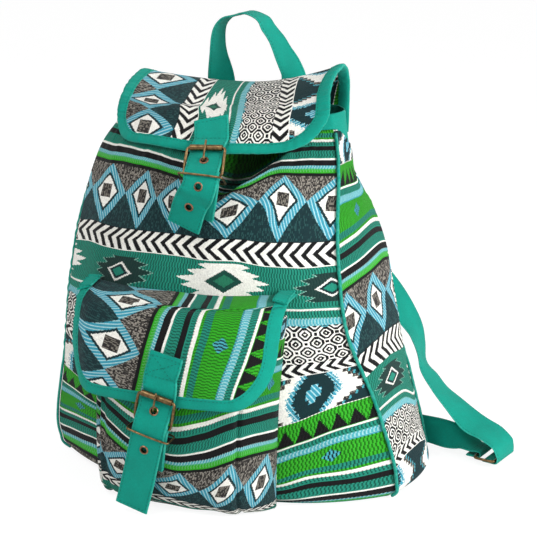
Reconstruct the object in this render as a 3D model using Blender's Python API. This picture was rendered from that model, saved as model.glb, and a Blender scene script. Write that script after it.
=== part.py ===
"""Canvas and jacquard rucksack, packed and buckled shut, standing on its base.

Metres, +Z up, +X to the right of someone who faces the front, front towards -Y.
The origin is on the underside of the base panel.
"""
import math

import bmesh
import bpy
import numpy as np

# Cloth and clearances
FABRIC = 0.0025
CANVAS = 0.0018
SEAM_GAP = 0.0003
LAYER_GAP = 0.0005
FLAT_STEP = 0.0004

# Body of the bag
BODY_HEIGHT = 0.338
BASE_WIDTH = 0.340
BASE_DEPTH = 0.118
FRONT_BULGE = 0.055
SIDE_BULGE = 0.009
SIDE_SAG = 0.6
SAG_HEIGHT = 0.10
BACK_BULGE = 0.010
BASE_THICKNESS = 0.003
BOTTOM_ROLL = 0.010
BULGE_POWER = 2.8
FRONT_PANEL_TOP = 0.325
BACK_PANEL_TOP = 0.297
PIPING_RADIUS = 0.0018

# Heights as shares of the body, then lean, front and back half widths, the y of
# the right and left front seams and of the back seams, and the bulge of the front
STATIONS = (
    (0.00, 0.0065, 0.979, 0.970, -0.510, -0.500, 0.500, 1.05),
    (0.09, 0.0015, 0.991, 0.965, -0.510, -0.510, 0.490, 1.05),
    (0.27, -0.0052, 0.905, 0.910, -0.490, -0.510, 0.490, 1.05),
    (0.44, -0.0165, 0.809, 0.909, -0.445, -0.490, 0.490, 1.03),
    (0.65, -0.0188, 0.740, 0.825, -0.320, -0.425, 0.505, 1.02),
    (0.89, -0.0100, 0.659, 0.565, -0.215, -0.360, 0.400, 0.95),
    (1.02, -0.0007, 0.537, 0.492, -0.080, -0.230, 0.330, 0.45),
)

# Hollow under the flap, and the gathers of the drawn mouth
DENT_X = 0.034
DENT_Z = 0.318
DENT_WIDTH = 0.026
DENT_HEIGHT = 0.026
DENT_DEPTH = 0.016
GATHER_PITCH = 0.034
GATHER_DEPTH = 0.0028
GATHER_START = 0.245

# Lid flap
FLAP_WIDTH = 0.193
FLAP_X = -0.006
FLAP_CORNER = 0.033
FLAP_RIGHT_LIFT = 0.021
FLAP_LEFT_LIFT = 0.008
FLAP_SPREAD = 0.009
FLAP_CREST = 0.0185
BINDING_WIDTH = 0.0105
BINDING_HEIGHT = 0.0044

# Front pocket
POCKET_WIDTH = 0.162
POCKET_X = -0.004
POCKET_DEPTH = 0.034
POCKET_TOP = 0.170
POCKET_FLAP_WIDTH = 0.1935
POCKET_FLAP_X = -0.0138
POCKET_FLAP_ROOT = 0.189
POCKET_FLAP_LENGTH = 0.111
POCKET_FLAP_CORNER = 0.036

# Straps and buckles
STRAP_WIDTH = 0.031
STRAP_THICKNESS = 0.0024
HANDLE_WIDTH = 0.027
HANDLE_HEIGHT = 0.081
SHOULDER_WIDTH = 0.038
LOWER_STRAP_WIDTH = 0.027
WIRE = 0.0013
THIN_WIRE = 0.0009
BUCKLE_LENGTH = 0.026
BUCKLE_HALF_WIDTH = 0.0170
BUCKLE_CORNER = 0.002
ROLLER_RADIUS = 0.0027
ROLLER_LENGTH = 0.0292
RUNNING_GAP = 0.00006
EYELET_INSIDE = 0.0028
EYELET_BARREL = 0.0004
EYELET_OUTSIDE = 0.0041
EYELET_FLANGE = 0.0006
EYELET_SIDES = 10
HOLE_RADIUS = (EYELET_INSIDE + EYELET_BARREL + SEAM_GAP) / math.cos(math.pi / EYELET_SIDES)
HOLE_SPAN = 0.0048
SLOT_WIDTH = 0.0046
TAB_NECK = 0.0060
ADJUSTER_LENGTH = 0.020
ANCHOR_WIDTH = 0.118
ANCHOR_HEIGHT = 0.038
ANCHOR_X = -0.002
ANCHOR_STANDOFF = 0.0036

# Mesh fineness
PANEL_ROWS = 14
ROUND_SIDES = 8
ROLLER_SIDES = 12


def make_material(name, colour, roughness, metallic=0.0):
    material = bpy.data.materials.new(name)
    material.use_nodes = True
    shader = material.node_tree.nodes["Principled BSDF"]
    shader.inputs["Base Color"].default_value = (*colour, 1.0)
    shader.inputs["Roughness"].default_value = roughness
    shader.inputs["Metallic"].default_value = metallic
    material.diffuse_color = (*colour, 1.0)
    return material


def unit(vector):
    vector = np.asarray(vector, float)
    return vector / np.linalg.norm(vector)


def curve_through(points, share):
    """Point at a share of the way along a smooth curve through the points."""
    points = np.asarray(points, float)
    last = len(points) - 1
    place = min(max(share, 0.0), 1.0) * last
    start = min(int(place), last - 1)
    t = place - start
    before = points[max(start - 1, 0)]
    a = points[start]
    b = points[start + 1]
    after = points[min(start + 2, last)]
    return 0.5 * (
        2 * a
        + (b - before) * t
        + (2 * before - 5 * a + 4 * b - after) * t ** 2
        + (3 * a - before - 3 * b + after) * t ** 3
    )


def smooth_run(points, count):
    return [curve_through(points, i / (count - 1)) for i in range(count)]


def table_value(table, key, column):
    """Smooth value of one column of a table at a key in its first column."""
    keys = [row[0] for row in table]
    values = [row[column] for row in table]
    key = min(max(key, keys[0]), keys[-1])
    i = max(j for j in range(len(keys) - 1) if keys[j] <= key)
    span = keys[i + 1] - keys[i]
    t = (key - keys[i]) / span

    def slope(j):
        low = max(j - 1, 0)
        high = min(j + 1, len(keys) - 1)
        return (values[high] - values[low]) / (keys[high] - keys[low])

    h00 = 2 * t ** 3 - 3 * t ** 2 + 1
    h10 = t ** 3 - 2 * t ** 2 + t
    h01 = -2 * t ** 3 + 3 * t ** 2
    h11 = t ** 3 - t ** 2
    return (
        h00 * values[i] + h10 * span * slope(i)
        + h01 * values[i + 1] + h11 * span * slope(i + 1)
    )


def smooth_step(low, high, value):
    t = min(max((value - low) / (high - low), 0.0), 1.0)
    return t * t * (3 - 2 * t)


def finish_mesh(name, vertices, faces, material, smooth=True, origin=(0.0, 0.0, 0.0)):
    mesh = bpy.data.meshes.new(name)
    mesh.from_pydata([tuple(np.asarray(v, float) - origin) for v in vertices], [], faces)
    work = bmesh.new()
    work.from_mesh(mesh)
    bmesh.ops.recalc_face_normals(work, faces=work.faces)
    work.to_mesh(mesh)
    work.free()
    if smooth:
        mesh.shade_smooth()
        mesh.set_sharp_from_angle(angle=math.radians(40))
    mesh.materials.append(material)
    thing = bpy.data.objects.new(name, mesh)
    thing.location = tuple(origin)
    bpy.context.collection.objects.link(thing)
    return thing


def shell_between(name, outer, inner, material):
    """Closed sheet whose two faces are the same grid of points."""
    columns = len(outer)
    rows = len(outer[0])
    vertices = [p for column in outer for p in column]
    vertices += [p for column in inner for p in column]
    back = columns * rows
    faces = []
    for i in range(columns - 1):
        for j in range(rows - 1):
            a = i * rows + j
            b = a + rows
            faces += [(a, b, b + 1), (a, b + 1, a + 1)]
            faces += [(back + a, back + b + 1, back + b), (back + a, back + a + 1, back + b + 1)]
    rim = [i * rows for i in range(columns)]
    rim += [(columns - 1) * rows + j for j in range(1, rows)]
    rim += [i * rows + rows - 1 for i in range(columns - 2, -1, -1)]
    rim += [j for j in range(rows - 2, 0, -1)]
    for k, a in enumerate(rim):
        b = rim[(k + 1) % len(rim)]
        faces.append((a, back + a, back + b, b))
    return finish_mesh(name, vertices, faces, material)


def swept(name, sections, material, closed=False, smooth=True, origin=(0.0, 0.0, 0.0)):
    """Closed solid through a row of sections with the same number of points."""
    size = len(sections[0])
    count = len(sections)
    vertices = [p for section in sections for p in section]
    faces = []
    for i in range(count if closed else count - 1):
        start = i * size
        after = ((i + 1) % count) * size
        for j in range(size):
            k = (j + 1) % size
            faces.append((start + j, start + k, after + k, after + j))
    if not closed:
        faces.append(tuple(range(size)))
        faces.append(tuple(range((count - 1) * size, count * size)))
    return finish_mesh(name, vertices, faces, material, smooth, origin)


def path_tangents(points, closed=False):
    points = [np.asarray(p, float) for p in points]
    count = len(points)
    tangents = []
    for i in range(count):
        if closed:
            step = points[(i + 1) % count] - points[i - 1]
        else:
            step = points[min(i + 1, count - 1)] - points[max(i - 1, 0)]
        tangents.append(unit(step))
    return tangents


def tube(name, points, radius, material, closed=False, sides=ROUND_SIDES, first=(0, 0, 1),
         origin=(0.0, 0.0, 0.0)):
    """Round bar along a path, its section carried along without twisting."""
    tangents = path_tangents(points, closed)
    side = np.asarray(first, float)
    sections = []
    for point, tangent in zip(points, tangents):
        side = unit(side - tangent * np.dot(side, tangent))
        other = np.cross(tangent, side)
        ring = []
        for k in range(sides):
            turn = 2 * math.pi * (k + 0.5) / sides
            ring.append(point + radius * (math.cos(turn) * side + math.sin(turn) * other))
        sections.append(ring)
    return swept(name, sections, material, closed, origin=origin)


def ribbon_frames(centres, across, flat_spans=()):
    """Place, width direction and normal of each station; flat spans stay plane."""
    tangents = path_tangents(centres)
    for i in flat_spans:
        tangents[i] = tangents[i + 1] = unit(centres[i + 1] - centres[i])
    frames = []
    for point, tangent, wide in zip(centres, tangents, across):
        wide = unit(wide - tangent * np.dot(wide, tangent))
        frames.append((np.asarray(point, float), wide, np.cross(tangent, wide)))
    return frames


def ribbon(name, centres, across, width, thickness, material, holes=()):
    """Flat strap along its centre line, with round holes in some of its spans."""
    frames = ribbon_frames(centres, across, holes)
    vertices = []
    for point, wide, normal in frames:
        edge = wide * width / 2
        half = normal * thickness / 2
        vertices += [point - edge - half, point + edge - half, point + edge + half, point - edge + half]
    faces = [(0, 1, 2, 3), tuple(len(vertices) - 4 + j for j in range(4))]
    for i in range(len(frames) - 1):
        start = 4 * i
        for j in range(4):
            if j in (1, 3):
                k = (j + 1) % 4
                faces.append((start + j, start + k, start + 4 + k, start + 4 + j))
            elif i not in holes:
                near, far = (0, 1) if j == 0 else (3, 2)
                faces.append((start + near, start + far, start + 4 + far))
                faces.append((start + near, start + 4 + far, start + 4 + near))
    for i in holes:
        start = 4 * i
        lower = [start, start + 1, start + 5, start + 4]
        upper = [start + 3, start + 2, start + 6, start + 7]
        rings = []
        for corners in (lower, upper):
            centre = sum(vertices[c] for c in corners) / 4
            wide = unit(vertices[corners[1]] - vertices[corners[0]])
            way = unit(vertices[corners[3]] - vertices[corners[0]])
            ring = []
            for k in range(EYELET_SIDES):
                turn = 2 * math.pi * (k + 0.5) / EYELET_SIDES
                ring.append(len(vertices))
                vertices.append(centre + HOLE_RADIUS * (wide * math.cos(turn) + way * math.sin(turn)))
            rings.append(ring)
            nearest = []
            for k in range(EYELET_SIDES):
                turn = 2 * math.pi * (k + 0.5) / EYELET_SIDES
                right = math.cos(turn) > 0
                nearest.append(corners[(2 if right else 3) if math.sin(turn) > 0 else (1 if right else 0)])
            for k in range(EYELET_SIDES):
                after = (k + 1) % EYELET_SIDES
                faces.append((ring[k], ring[after], nearest[after]))
                if nearest[k] != nearest[after]:
                    faces.append((ring[k], nearest[after], nearest[k]))
        for k in range(EYELET_SIDES):
            after = (k + 1) % EYELET_SIDES
            faces.append((rings[0][k], rings[0][after], rings[1][after], rings[1][k]))
    return finish_mesh(name, vertices, faces, material)


def slotted_ribbon(name, centres, across, width, thickness, slot, spans, material):
    """Flat strap with a slot along its middle between two of its stations."""
    lanes = (-width / 2, -slot / 2, slot / 2, width / 2)
    vertices = []
    for point, wide, normal in ribbon_frames(centres, across):
        for side in (-1, 1):
            for lane in lanes:
                vertices.append(point + wide * lane + normal * side * thickness / 2)
    first, last = spans
    count = len(centres)

    def at(i, lane, upper):
        return 8 * i + 4 * upper + lane

    faces = []
    for i in (0, count - 1):
        for lane in range(3):
            faces.append((at(i, lane, 0), at(i, lane + 1, 0), at(i, lane + 1, 1), at(i, lane, 1)))
    for i in range(count - 1):
        open_here = first <= i < last
        for lane in range(3):
            if lane == 1 and open_here:
                continue
            near, far = (lane, lane + 1) if i < count // 2 else (lane + 1, lane)
            for upper in (0, 1):
                corner = at(i + 1, far, upper)
                faces.append((at(i, near, upper), at(i, far, upper), corner))
                faces.append((at(i, near, upper), corner, at(i + 1, near, upper)))
        walls = (0, 1, 2, 3) if open_here else (0, 3)
        for lane in walls:
            faces.append((at(i, lane, 0), at(i + 1, lane, 0), at(i + 1, lane, 1), at(i, lane, 1)))
    for i in (first, last):
        faces.append((at(i, 1, 0), at(i, 2, 0), at(i, 2, 1), at(i, 1, 1)))
    return finish_mesh(name, vertices, faces, material)


# Form of the body

def seam_places(z):
    """Plan positions of the four seams at a height: front right, back right, back left, front left."""
    share = z / BODY_HEIGHT
    lean = table_value(STATIONS, share, 1)
    front = table_value(STATIONS, share, 2) * BASE_WIDTH / 2
    back = table_value(STATIONS, share, 3) * BASE_WIDTH / 2
    y_right = table_value(STATIONS, share, 4) * BASE_DEPTH
    y_left = table_value(STATIONS, share, 5) * BASE_DEPTH
    y_back = table_value(STATIONS, share, 6) * BASE_DEPTH
    return (
        np.array([lean + front, y_right]), np.array([lean + back, y_back]),
        np.array([lean - back, y_back]), np.array([lean - front, y_left]),
    )


def front_relief(x, z):
    """How far the front is pushed in by its dent and gathers."""
    dent = DENT_DEPTH * math.exp(-((x - DENT_X) / DENT_WIDTH) ** 2 - ((z - DENT_Z) / DENT_HEIGHT) ** 2)
    gather = GATHER_DEPTH * (0.5 - 0.5 * math.cos(2 * math.pi * x / GATHER_PITCH))
    return dent + gather * smooth_step(GATHER_START, BODY_HEIGHT, z)


def bottom_inset(z):
    if z >= BOTTOM_ROLL:
        return 0.0
    return BOTTOM_ROLL * (1 - math.sqrt(1 - (1 - z / BOTTOM_ROLL) ** 2))


def body_point(side, t, z):
    """Outer face of the bag: t runs from -1 to 1 along one side at a height."""
    corners = seam_places(z)
    start, end = {"front": (3, 0), "right": (0, 1), "back": (1, 2), "left": (2, 3)}[side]
    a = corners[start]
    b = corners[end]
    place = a + (b - a) * (t + 1) / 2
    along = unit(b - a)
    outward = np.array([along[1], -along[0]])
    if side == "front":
        amount = FRONT_BULGE * table_value(STATIONS, z / BODY_HEIGHT, 7) * (1 - abs(t) ** BULGE_POWER)
        fade = min(1.0, 4 * (1 - abs(t)))
        place = place + np.array([0.0, -amount + front_relief(place[0], z) * fade])
    elif side == "back":
        place = place + outward * BACK_BULGE * (1 - t * t)
    else:
        sag = 1 + SIDE_SAG * (1 - smooth_step(0.0, SAG_HEIGHT, z))
        place = place + outward * SIDE_BULGE * sag * (1 - t * t)
    middle = sum(corners) / 4
    away = place - middle
    place = middle + away * (1 - bottom_inset(z) / np.linalg.norm(away))
    return np.array([place[0], place[1], z])


def body_normal(side, t, z):
    step = FLAT_STEP
    along = body_point(side, min(t + step, 1.0), z) - body_point(side, max(t - step, -1.0), z)
    up = body_point(side, t, z + step) - body_point(side, t, z - step)
    return unit(np.cross(along, up))


def front_form(x, z):
    """Front of the bag above a point on the floor plan, without its dent and gathers."""
    right, _, _, left = seam_places(z)
    t = 2 * (x - left[0]) / (right[0] - left[0]) - 1
    t = min(max(t, -1.0), 1.0)
    amount = FRONT_BULGE * table_value(STATIONS, z / BODY_HEIGHT, 7) * (1 - abs(t) ** BULGE_POWER)
    base = left[1] + (right[1] - left[1]) * (t + 1) / 2
    return base - amount, min(1.0, 4 * (1 - abs(t)))


def front_y(x, z):
    """Outer face of the front panel above a point on the floor plan."""
    place, fade = front_form(x, z)
    return place + front_relief(x, z) * fade


def back_y(x, z):
    _, right, left, _ = seam_places(z)
    t = 2 * (x - left[0]) / (right[0] - left[0]) - 1
    t = min(max(t, -1.0), 1.0)
    return right[1] + BACK_BULGE * (1 - t * t)


def back_slope(x, z):
    return (back_y(x + FLAT_STEP, z) - back_y(x - FLAT_STEP, z)) / (2 * FLAT_STEP)


def panel_top(y):
    return FRONT_PANEL_TOP - (FRONT_PANEL_TOP - BACK_PANEL_TOP) * smooth_step(-0.02, 0.04, y)


def mitre(side, t, z):
    """Way inwards at a seam, shared by the two panels that meet there."""
    order = ["front", "right", "back", "left"]
    place = order.index(side)
    other = order[(place + 1) % 4] if t > 0 else order[place - 1]
    n1 = body_normal(side, t, z)
    n2 = body_normal(other, -t / abs(t), z)
    return -(n1 + n2) * FABRIC / (1 + np.dot(n1, n2))


def row_height(j, top):
    bottom = BASE_THICKNESS + SEAM_GAP
    return bottom + (top - bottom) * (j / (PANEL_ROWS - 1)) ** 1.15


def build_panel(name, side, columns, material):
    """One cloth panel of the body, cut back a hair from the seams."""
    outer = []
    inner = []
    for i in range(columns):
        t = -1 + 2 * i / (columns - 1)
        at_seam = i in (0, columns - 1)
        span = np.linalg.norm(body_point(side, 1, 0.1) - body_point(side, -1, 0.1))
        if at_seam:
            t *= 1 - 1.4 * SEAM_GAP / span
        top = panel_top(body_point(side, t, FRONT_PANEL_TOP)[1])
        outer_column = []
        inner_column = []
        for j in range(PANEL_ROWS):
            z = row_height(j, top)
            point = body_point(side, t, z)
            if at_seam:
                inward = mitre(side, t, z)
            else:
                inward = -FABRIC * body_normal(side, t, z)
            outer_column.append(point)
            inner_column.append(point + inward)
        outer.append(outer_column)
        inner.append(inner_column)
    return shell_between(name, outer, inner, material)


def body_ring(z, per_side):
    points = []
    for side in ("front", "right", "back", "left"):
        for i in range(per_side[side]):
            points.append((side, -1 + 2 * i / per_side[side]))
    return [body_point(side, t, z) for side, t in points], points


def build_base(material):
    counts = {"front": 16, "right": 6, "back": 8, "left": 6}
    ring, _ = body_ring(BASE_THICKNESS + SEAM_GAP, counts)
    sections = []
    for z in (0.0, BASE_THICKNESS):
        sections.append([np.array([p[0], p[1], z]) for p in ring])
    return swept("base_panel", sections, material, smooth=False)


def build_mouth_band(material):
    """Canvas band round the drawn mouth, taller at the back than at the front."""
    counts = {"front": 18, "right": 7, "back": 10, "left": 7}
    _, places = body_ring(BODY_HEIGHT, counts)
    sections = []
    for side, t in places:
        low = panel_top(body_point(side, t, FRONT_PANEL_TOP)[1]) + LAYER_GAP
        section = []
        for z in (low, (low + BODY_HEIGHT) / 2, BODY_HEIGHT):
            section.append(body_point(side, t, z))
        for z in (BODY_HEIGHT, (low + BODY_HEIGHT) / 2, low):
            n = body_normal(side, t, z)
            if t == -1:
                order = ["front", "right", "back", "left"]
                before = order[order.index(side) - 1]
                n = unit(n + body_normal(before, 1, z))
            flat = unit(np.array([n[0], n[1], 0.0]))
            section.append(body_point(side, t, z) - flat * CANVAS)
        sections.append(section)
    return swept("mouth_band", sections, material, closed=True)


def build_piping(name, side, material):
    """Corded canvas edge along the seam at the right-hand end of a side."""
    order = ["front", "right", "back", "left"]
    other = order[(order.index(side) + 1) % 4]
    top = panel_top(body_point(side, 1, FRONT_PANEL_TOP)[1])
    points = []
    for j in range(1, PANEL_ROWS):
        z = row_height(j, top)
        n = body_normal(side, 1, z) + body_normal(other, -1, z)
        points.append(body_point(side, 1, z) + unit(n) * (PIPING_RADIUS + 2 * SEAM_GAP))
    return tube(name, points, PIPING_RADIUS, material, sides=7, first=(1, 0, 0))


# Flaps

def flap_outline(width, length, corner, inset, spacing):
    """Edge of a flap in its own plane, with the way inwards at each point."""
    half = width / 2 - inset
    radius = corner - inset
    straight = length - corner
    steps = max(2, round(straight / spacing))
    points = [((-half, straight * i / steps), (1, 0)) for i in range(steps)]
    turns = max(4, round(radius * math.pi / 2 / spacing * 1.5))
    for i in range(turns + 1):
        turn = math.pi / 2 * i / turns
        place = (-half + radius * (1 - math.cos(turn)), straight + radius * math.sin(turn))
        points.append((place, (math.cos(turn), -math.sin(turn))))
    flat = 2 * (half - radius)
    steps = max(2, round(flat / spacing))
    for i in range(1, steps):
        points.append(((-half + radius + flat * i / steps, length - inset), (0, -1)))
    return points


def flap_edge(width, length, corner, spacing):
    points = flap_outline(width, length, corner, 0.0, spacing)
    left = [p for p in points if p[0][0] < -(width / 2 - corner) + 1e-9]
    middle = [p for p in points if p[0][0] >= -(width / 2 - corner) + 1e-9]
    right = [((-a, b), (-ia, ib)) for (a, b), (ia, ib) in reversed(left)]
    return left + middle + right


def flap_grid(width, length, corner, inset, columns, rows):
    half = width / 2 - inset
    radius = corner - inset
    grid = []
    for i in range(columns):
        a = half * math.sin(math.pi / 2 * (-1 + 2 * i / (columns - 1)))
        beyond = max(0.0, abs(a) - (half - radius))
        end = length - corner + math.sqrt(max(0.0, radius ** 2 - beyond ** 2))
        grid.append([(a, end * j / (rows - 1)) for j in range(rows)])
    return grid


def surface_normal(surface, a, b):
    step = FLAT_STEP
    du = surface(a + step, b) - surface(a - step, b)
    dv = surface(a, b + step) - surface(a, max(b - step, 0.0))
    return unit(np.cross(dv, du))


def build_flap(name, surface, width, length, corner, columns, rows, material):
    inset = BINDING_WIDTH + LAYER_GAP
    grid = flap_grid(width, length, corner, inset, columns, rows)
    outer = [[surface(a, b) for a, b in column] for column in grid]
    inner = [[surface(a, b) - FABRIC * surface_normal(surface, a, b) for a, b in column]
             for column in grid]
    return shell_between(name, outer, inner, material)


def build_binding(name, surface, width, length, corner, spacing, material):
    """Canvas tape folded round the free edge of a flap."""
    sections = []
    for (a, b), (ia, ib) in flap_edge(width, length, corner, spacing):
        normal = surface_normal(surface, a + ia * BINDING_WIDTH / 2, b + ib * BINDING_WIDTH / 2)
        centre = -normal * FABRIC / 2
        outside = surface(a, b) + centre
        middle = surface(a + ia * BINDING_WIDTH / 2, b + ib * BINDING_WIDTH / 2) + centre
        inside = surface(a + ia * BINDING_WIDTH, b + ib * BINDING_WIDTH) + centre
        half = normal * BINDING_HEIGHT / 2
        sections.append([inside + half, middle + half, outside + half / 2,
                         outside - half / 2, middle - half, inside - half])
    return swept(name, sections, material)


# Middle line of the lid from its back seam to its front edge: share of the way
# from the back to the front of the bag, and height above the mouth
LID_LINE = (
    (0.000, -0.026), (-0.004, -0.010), (0.008, 0.0095), (0.180, 0.0185), (0.470, 0.0150),
    (0.690, 0.0060), (0.790, -0.0010), (0.900, -0.0130), (1.030, -0.0335),
)
LID_RIGHT_RISE = (0.0, 0.1, 0.65, 1.0, 1.0, 0.90, 0.84, 0.80, 0.80)
LID_LEFT_RISE = (0.0, 0.1, 0.8, 1.0, 0.7, 0.55, 0.58, 0.6, 0.6)
LID_LEFT_REACH = (0.0, 0.1, 0.8, 1.0, 0.7, 0.3, 0.15, 0.0, 0.0)
LID_HEM_STANDOFF = 0.0016
LID_END_SETBACK = 0.020
LID_CLEARANCE = 0.0050


def clear_of_mouth(x, y, z):
    """Push a place on the lid out of the stuffed front and the mouth under it."""
    if z >= BODY_HEIGHT:
        distance = math.hypot(z - BODY_HEIGHT, max(0.0, front_form(x, BODY_HEIGHT)[0] - y))
    else:
        slope = (front_form(x, z + 0.004)[0] - front_form(x, z - 0.004)[0]) / 0.008
        distance = (front_form(x, z)[0] - y) / math.hypot(1.0, slope)
    push = max(0.0, LID_CLEARANCE - distance)
    return y - push * 0.7, z + push * 0.7


def lid_middle(x):
    """The lid's middle line at one place across it, as points."""
    back = back_y(x, BACK_PANEL_TOP)
    front = front_y(FLAP_X, FRONT_PANEL_TOP - 0.012)
    share = (x - FLAP_X) / (FLAP_WIDTH / 2)
    rise = LID_RIGHT_RISE if share > 0 else LID_LEFT_RISE
    lift = FLAP_RIGHT_LIFT if share > 0 else FLAP_LEFT_LIFT
    weight = min(abs(share), 1.1) ** 1.8
    line = []
    for i, (way, height) in enumerate(LID_LINE):
        y = back + (front - back) * way + LID_END_SETBACK * weight * (i / (len(LID_LINE) - 1)) ** 2
        z = BODY_HEIGHT + height * FLAP_CREST / 0.0185 + lift * weight * rise[i]
        if i > 3:
            y, z = clear_of_mouth(x, y, z)
        elif i < 2:
            y += LID_HEM_STANDOFF * weight
        reach = -LID_LEFT_REACH[i] if share < 0 else 1.7 * (i / (len(LID_LINE) - 1)) ** 2
        line.append(np.array([x + FLAP_SPREAD * weight * reach, y, z]))
    return line


def lid_length():
    line = smooth_run(lid_middle(FLAP_X), 40)
    return sum(np.linalg.norm(b - a) for a, b in zip(line, line[1:]))


LID_LENGTH = 0.0


def lid_surface(a, b):
    share = b / LID_LENGTH
    return curve_through(lid_middle(FLAP_X + a), share)


# Front pocket: height, and depth as a share of the pocket's depth
POCKET_DEPTHS = (
    (0.0006, 0.06), (0.0012, 0.45), (0.0030, 0.80), (0.012, 1.03), (0.035, 1.14),
    (0.070, 1.12), (0.110, 1.02), (0.145, 0.88), (0.170, 0.72),
)
POCKET_BOTTOM_ROUND = 0.030
POCKET_FLOOR = 0.020
POCKET_PLAN = (
    (-1.00, 0.0), (-1.04, 0.30), (-1.04, 0.62), (-0.98, 0.88), (-0.84, 1.0), (-0.60, 1.05),
    (-0.30, 1.02), (0.0, 1.07), (0.25, 1.04), (0.48, 1.06), (0.66, 1.0), (0.80, 0.84),
    (0.91, 0.58), (0.98, 0.28), (1.00, 0.0),
)
POCKET_FLAP_LINE = (
    (0.000, 0.00, 0.0), (0.012, 0.36, -0.0012), (0.024, 0.72, -0.0040), (0.036, 0.98, -0.0120),
    (0.055, 1.10, -0.0300), (0.078, 1.16, -0.0520), (0.100, 1.18, -0.0740), (0.120, 1.17, -0.0930),
)


def pocket_point(plan_share, row_share, inset=0.0):
    """Point of the pocket's outer face, or of its inner face when inset by its cloth."""
    plan = curve_through(POCKET_PLAN, plan_share)
    z, scale = curve_through(POCKET_DEPTHS, row_share)
    z = max(z * POCKET_TOP / POCKET_DEPTHS[-1][0], FLAT_STEP)
    depth = POCKET_DEPTH * scale * max(plan[1], 0.0)
    if depth > 0:
        depth *= depth / (depth + inset)
    straight = min(max(plan[0], -1.0), 1.0)
    spread = straight + (plan[0] - straight) * min(scale, 1.0)
    x = POCKET_X + spread * (POCKET_WIDTH / 2 - inset)
    z += inset * (1 - smooth_step(0.0, POCKET_BOTTOM_ROUND, z))
    return np.array([x, front_y(x, max(z, POCKET_FLOOR)) - LAYER_GAP - depth, z])


def build_pocket(material):
    columns = 25
    rows = 11
    outer = []
    inner = []
    for i in range(columns):
        shares = [(i / (columns - 1), j / (rows - 1)) for j in range(rows)]
        outer.append([pocket_point(*share) for share in shares])
        inner.append([pocket_point(*share, CANVAS) for share in shares])
    return shell_between("pocket_body", outer, inner, material)


def pocket_flap_surface(a, b):
    share = b / POCKET_FLAP_LENGTH
    line = [(row[1], row[2]) for row in POCKET_FLAP_LINE]
    scale, drop = curve_through(line, share)
    x = POCKET_FLAP_X + a
    z = POCKET_FLAP_ROOT + drop * POCKET_FLAP_LENGTH / POCKET_FLAP_LINE[-1][0]
    reach = abs(a) / (POCKET_FLAP_WIDTH / 2)
    side = 1 - 0.22 * smooth_step(0.72, 1.0, reach)
    depth = (POCKET_DEPTH * 1.06 + FABRIC + 2 * LAYER_GAP) * scale * side
    return np.array([x, front_y(x, z) - FABRIC - depth, z])


# Buckles

class BuckleFrame:
    """Place of a roller buckle: origin at its heel bar, up towards its roller."""

    def __init__(self, heel, across, up):
        self.heel = np.asarray(heel, float)
        self.up = unit(up)
        across = np.asarray(across, float)
        self.across = unit(across - self.up * np.dot(across, self.up))
        self.out = np.cross(self.across, self.up)

    def at(self, x, y, z):
        return self.heel + self.across * x + self.up * y + self.out * z


# Side view of the prong, from its curl round the heel bar to its tip
PRONG_LINE = (
    (0.0103, -0.0020), (0.0122, -0.0004), (0.0133, 0.0016), (0.0146, 0.0034),
    (0.0172, 0.0042), (0.0215, 0.0041), (0.0260, 0.0039), (0.0312, 0.0036),
)
# Side view of the strap inside the buckle, from behind the roller to past the heel bar
STRAP_IN_BUCKLE = (
    (0.0300, -0.0044), (0.0240, -0.0042), (0.0205, -0.0029), (0.0178, -0.00156),
    (0.0082, 0.00216), (0.0042, 0.0038), (-0.0002, 0.0050),
)
HOLE_IN_BUCKLE = 3


def build_buckle(prefix, place, keeper, material):
    half = BUCKLE_HALF_WIDTH
    corner = BUCKLE_CORNER
    loop = []
    for cx, cy, start in ((half, BUCKLE_LENGTH, 0), (-half, BUCKLE_LENGTH, 90),
                          (-half, 0, 180), (half, 0, 270)):
        for k in range(4):
            turn = math.radians(start + 30 * k)
            x = cx - math.copysign(corner, cx) + corner * math.cos(turn)
            y = cy + (-corner if cy > 0 else corner) + corner * math.sin(turn)
            loop.append(place.at(x, y, 0))
    tube(prefix + "_buckle_frame", loop, WIRE, material, closed=True, first=place.out)

    bore = (WIRE + RUNNING_GAP) / math.cos(math.pi / ROLLER_SIDES)
    rings = []
    for x, radius in ((-1, bore), (1, bore), (1, ROLLER_RADIUS), (-1, ROLLER_RADIUS)):
        ring = []
        for k in range(ROLLER_SIDES):
            turn = 2 * math.pi * k / ROLLER_SIDES
            ring.append(place.at(x * ROLLER_LENGTH / 2, BUCKLE_LENGTH + radius * math.cos(turn),
                                 radius * math.sin(turn)))
        rings.append(ring)
    swept(prefix + "_buckle_roller", rings, material, closed=True, origin=place.at(0, BUCKLE_LENGTH, 0))

    curl = WIRE + RUNNING_GAP + THIN_WIRE + 0.0001
    side_view = []
    for k in range(9):
        turn = math.radians(55 + 215 * k / 8)
        side_view.append((curl * math.cos(turn), curl * math.sin(turn)))
    side_view.append((0.0055, -curl))
    side_view.extend(PRONG_LINE)
    tube(prefix + "_buckle_prong", [place.at(0, y, z) for y, z in side_view], THIN_WIRE, material,
         first=place.across, origin=place.heel)

    wide = half + WIRE + THIN_WIRE + LAYER_GAP
    keeper_drop, keeper_tilt, front = keeper
    back = -(WIRE + 2 * CANVAS + LAYER_GAP * 3 + THIN_WIRE)
    loop = []
    for cx, cz, start in ((wide, front, 0), (-wide, front, 90), (-wide, back, 180), (wide, back, 270)):
        for k in range(4):
            turn = math.radians(start + 30 * k)
            x = cx - math.copysign(corner * 0.8, cx) + corner * 0.8 * math.cos(turn)
            z = cz - math.copysign(corner * 0.8, cz) + corner * 0.8 * math.sin(turn)
            loop.append(place.at(x, -keeper_drop - x * keeper_tilt, z))
    tube(prefix + "_buckle_keeper", loop, THIN_WIRE, material, closed=True, first=place.up)


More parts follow.
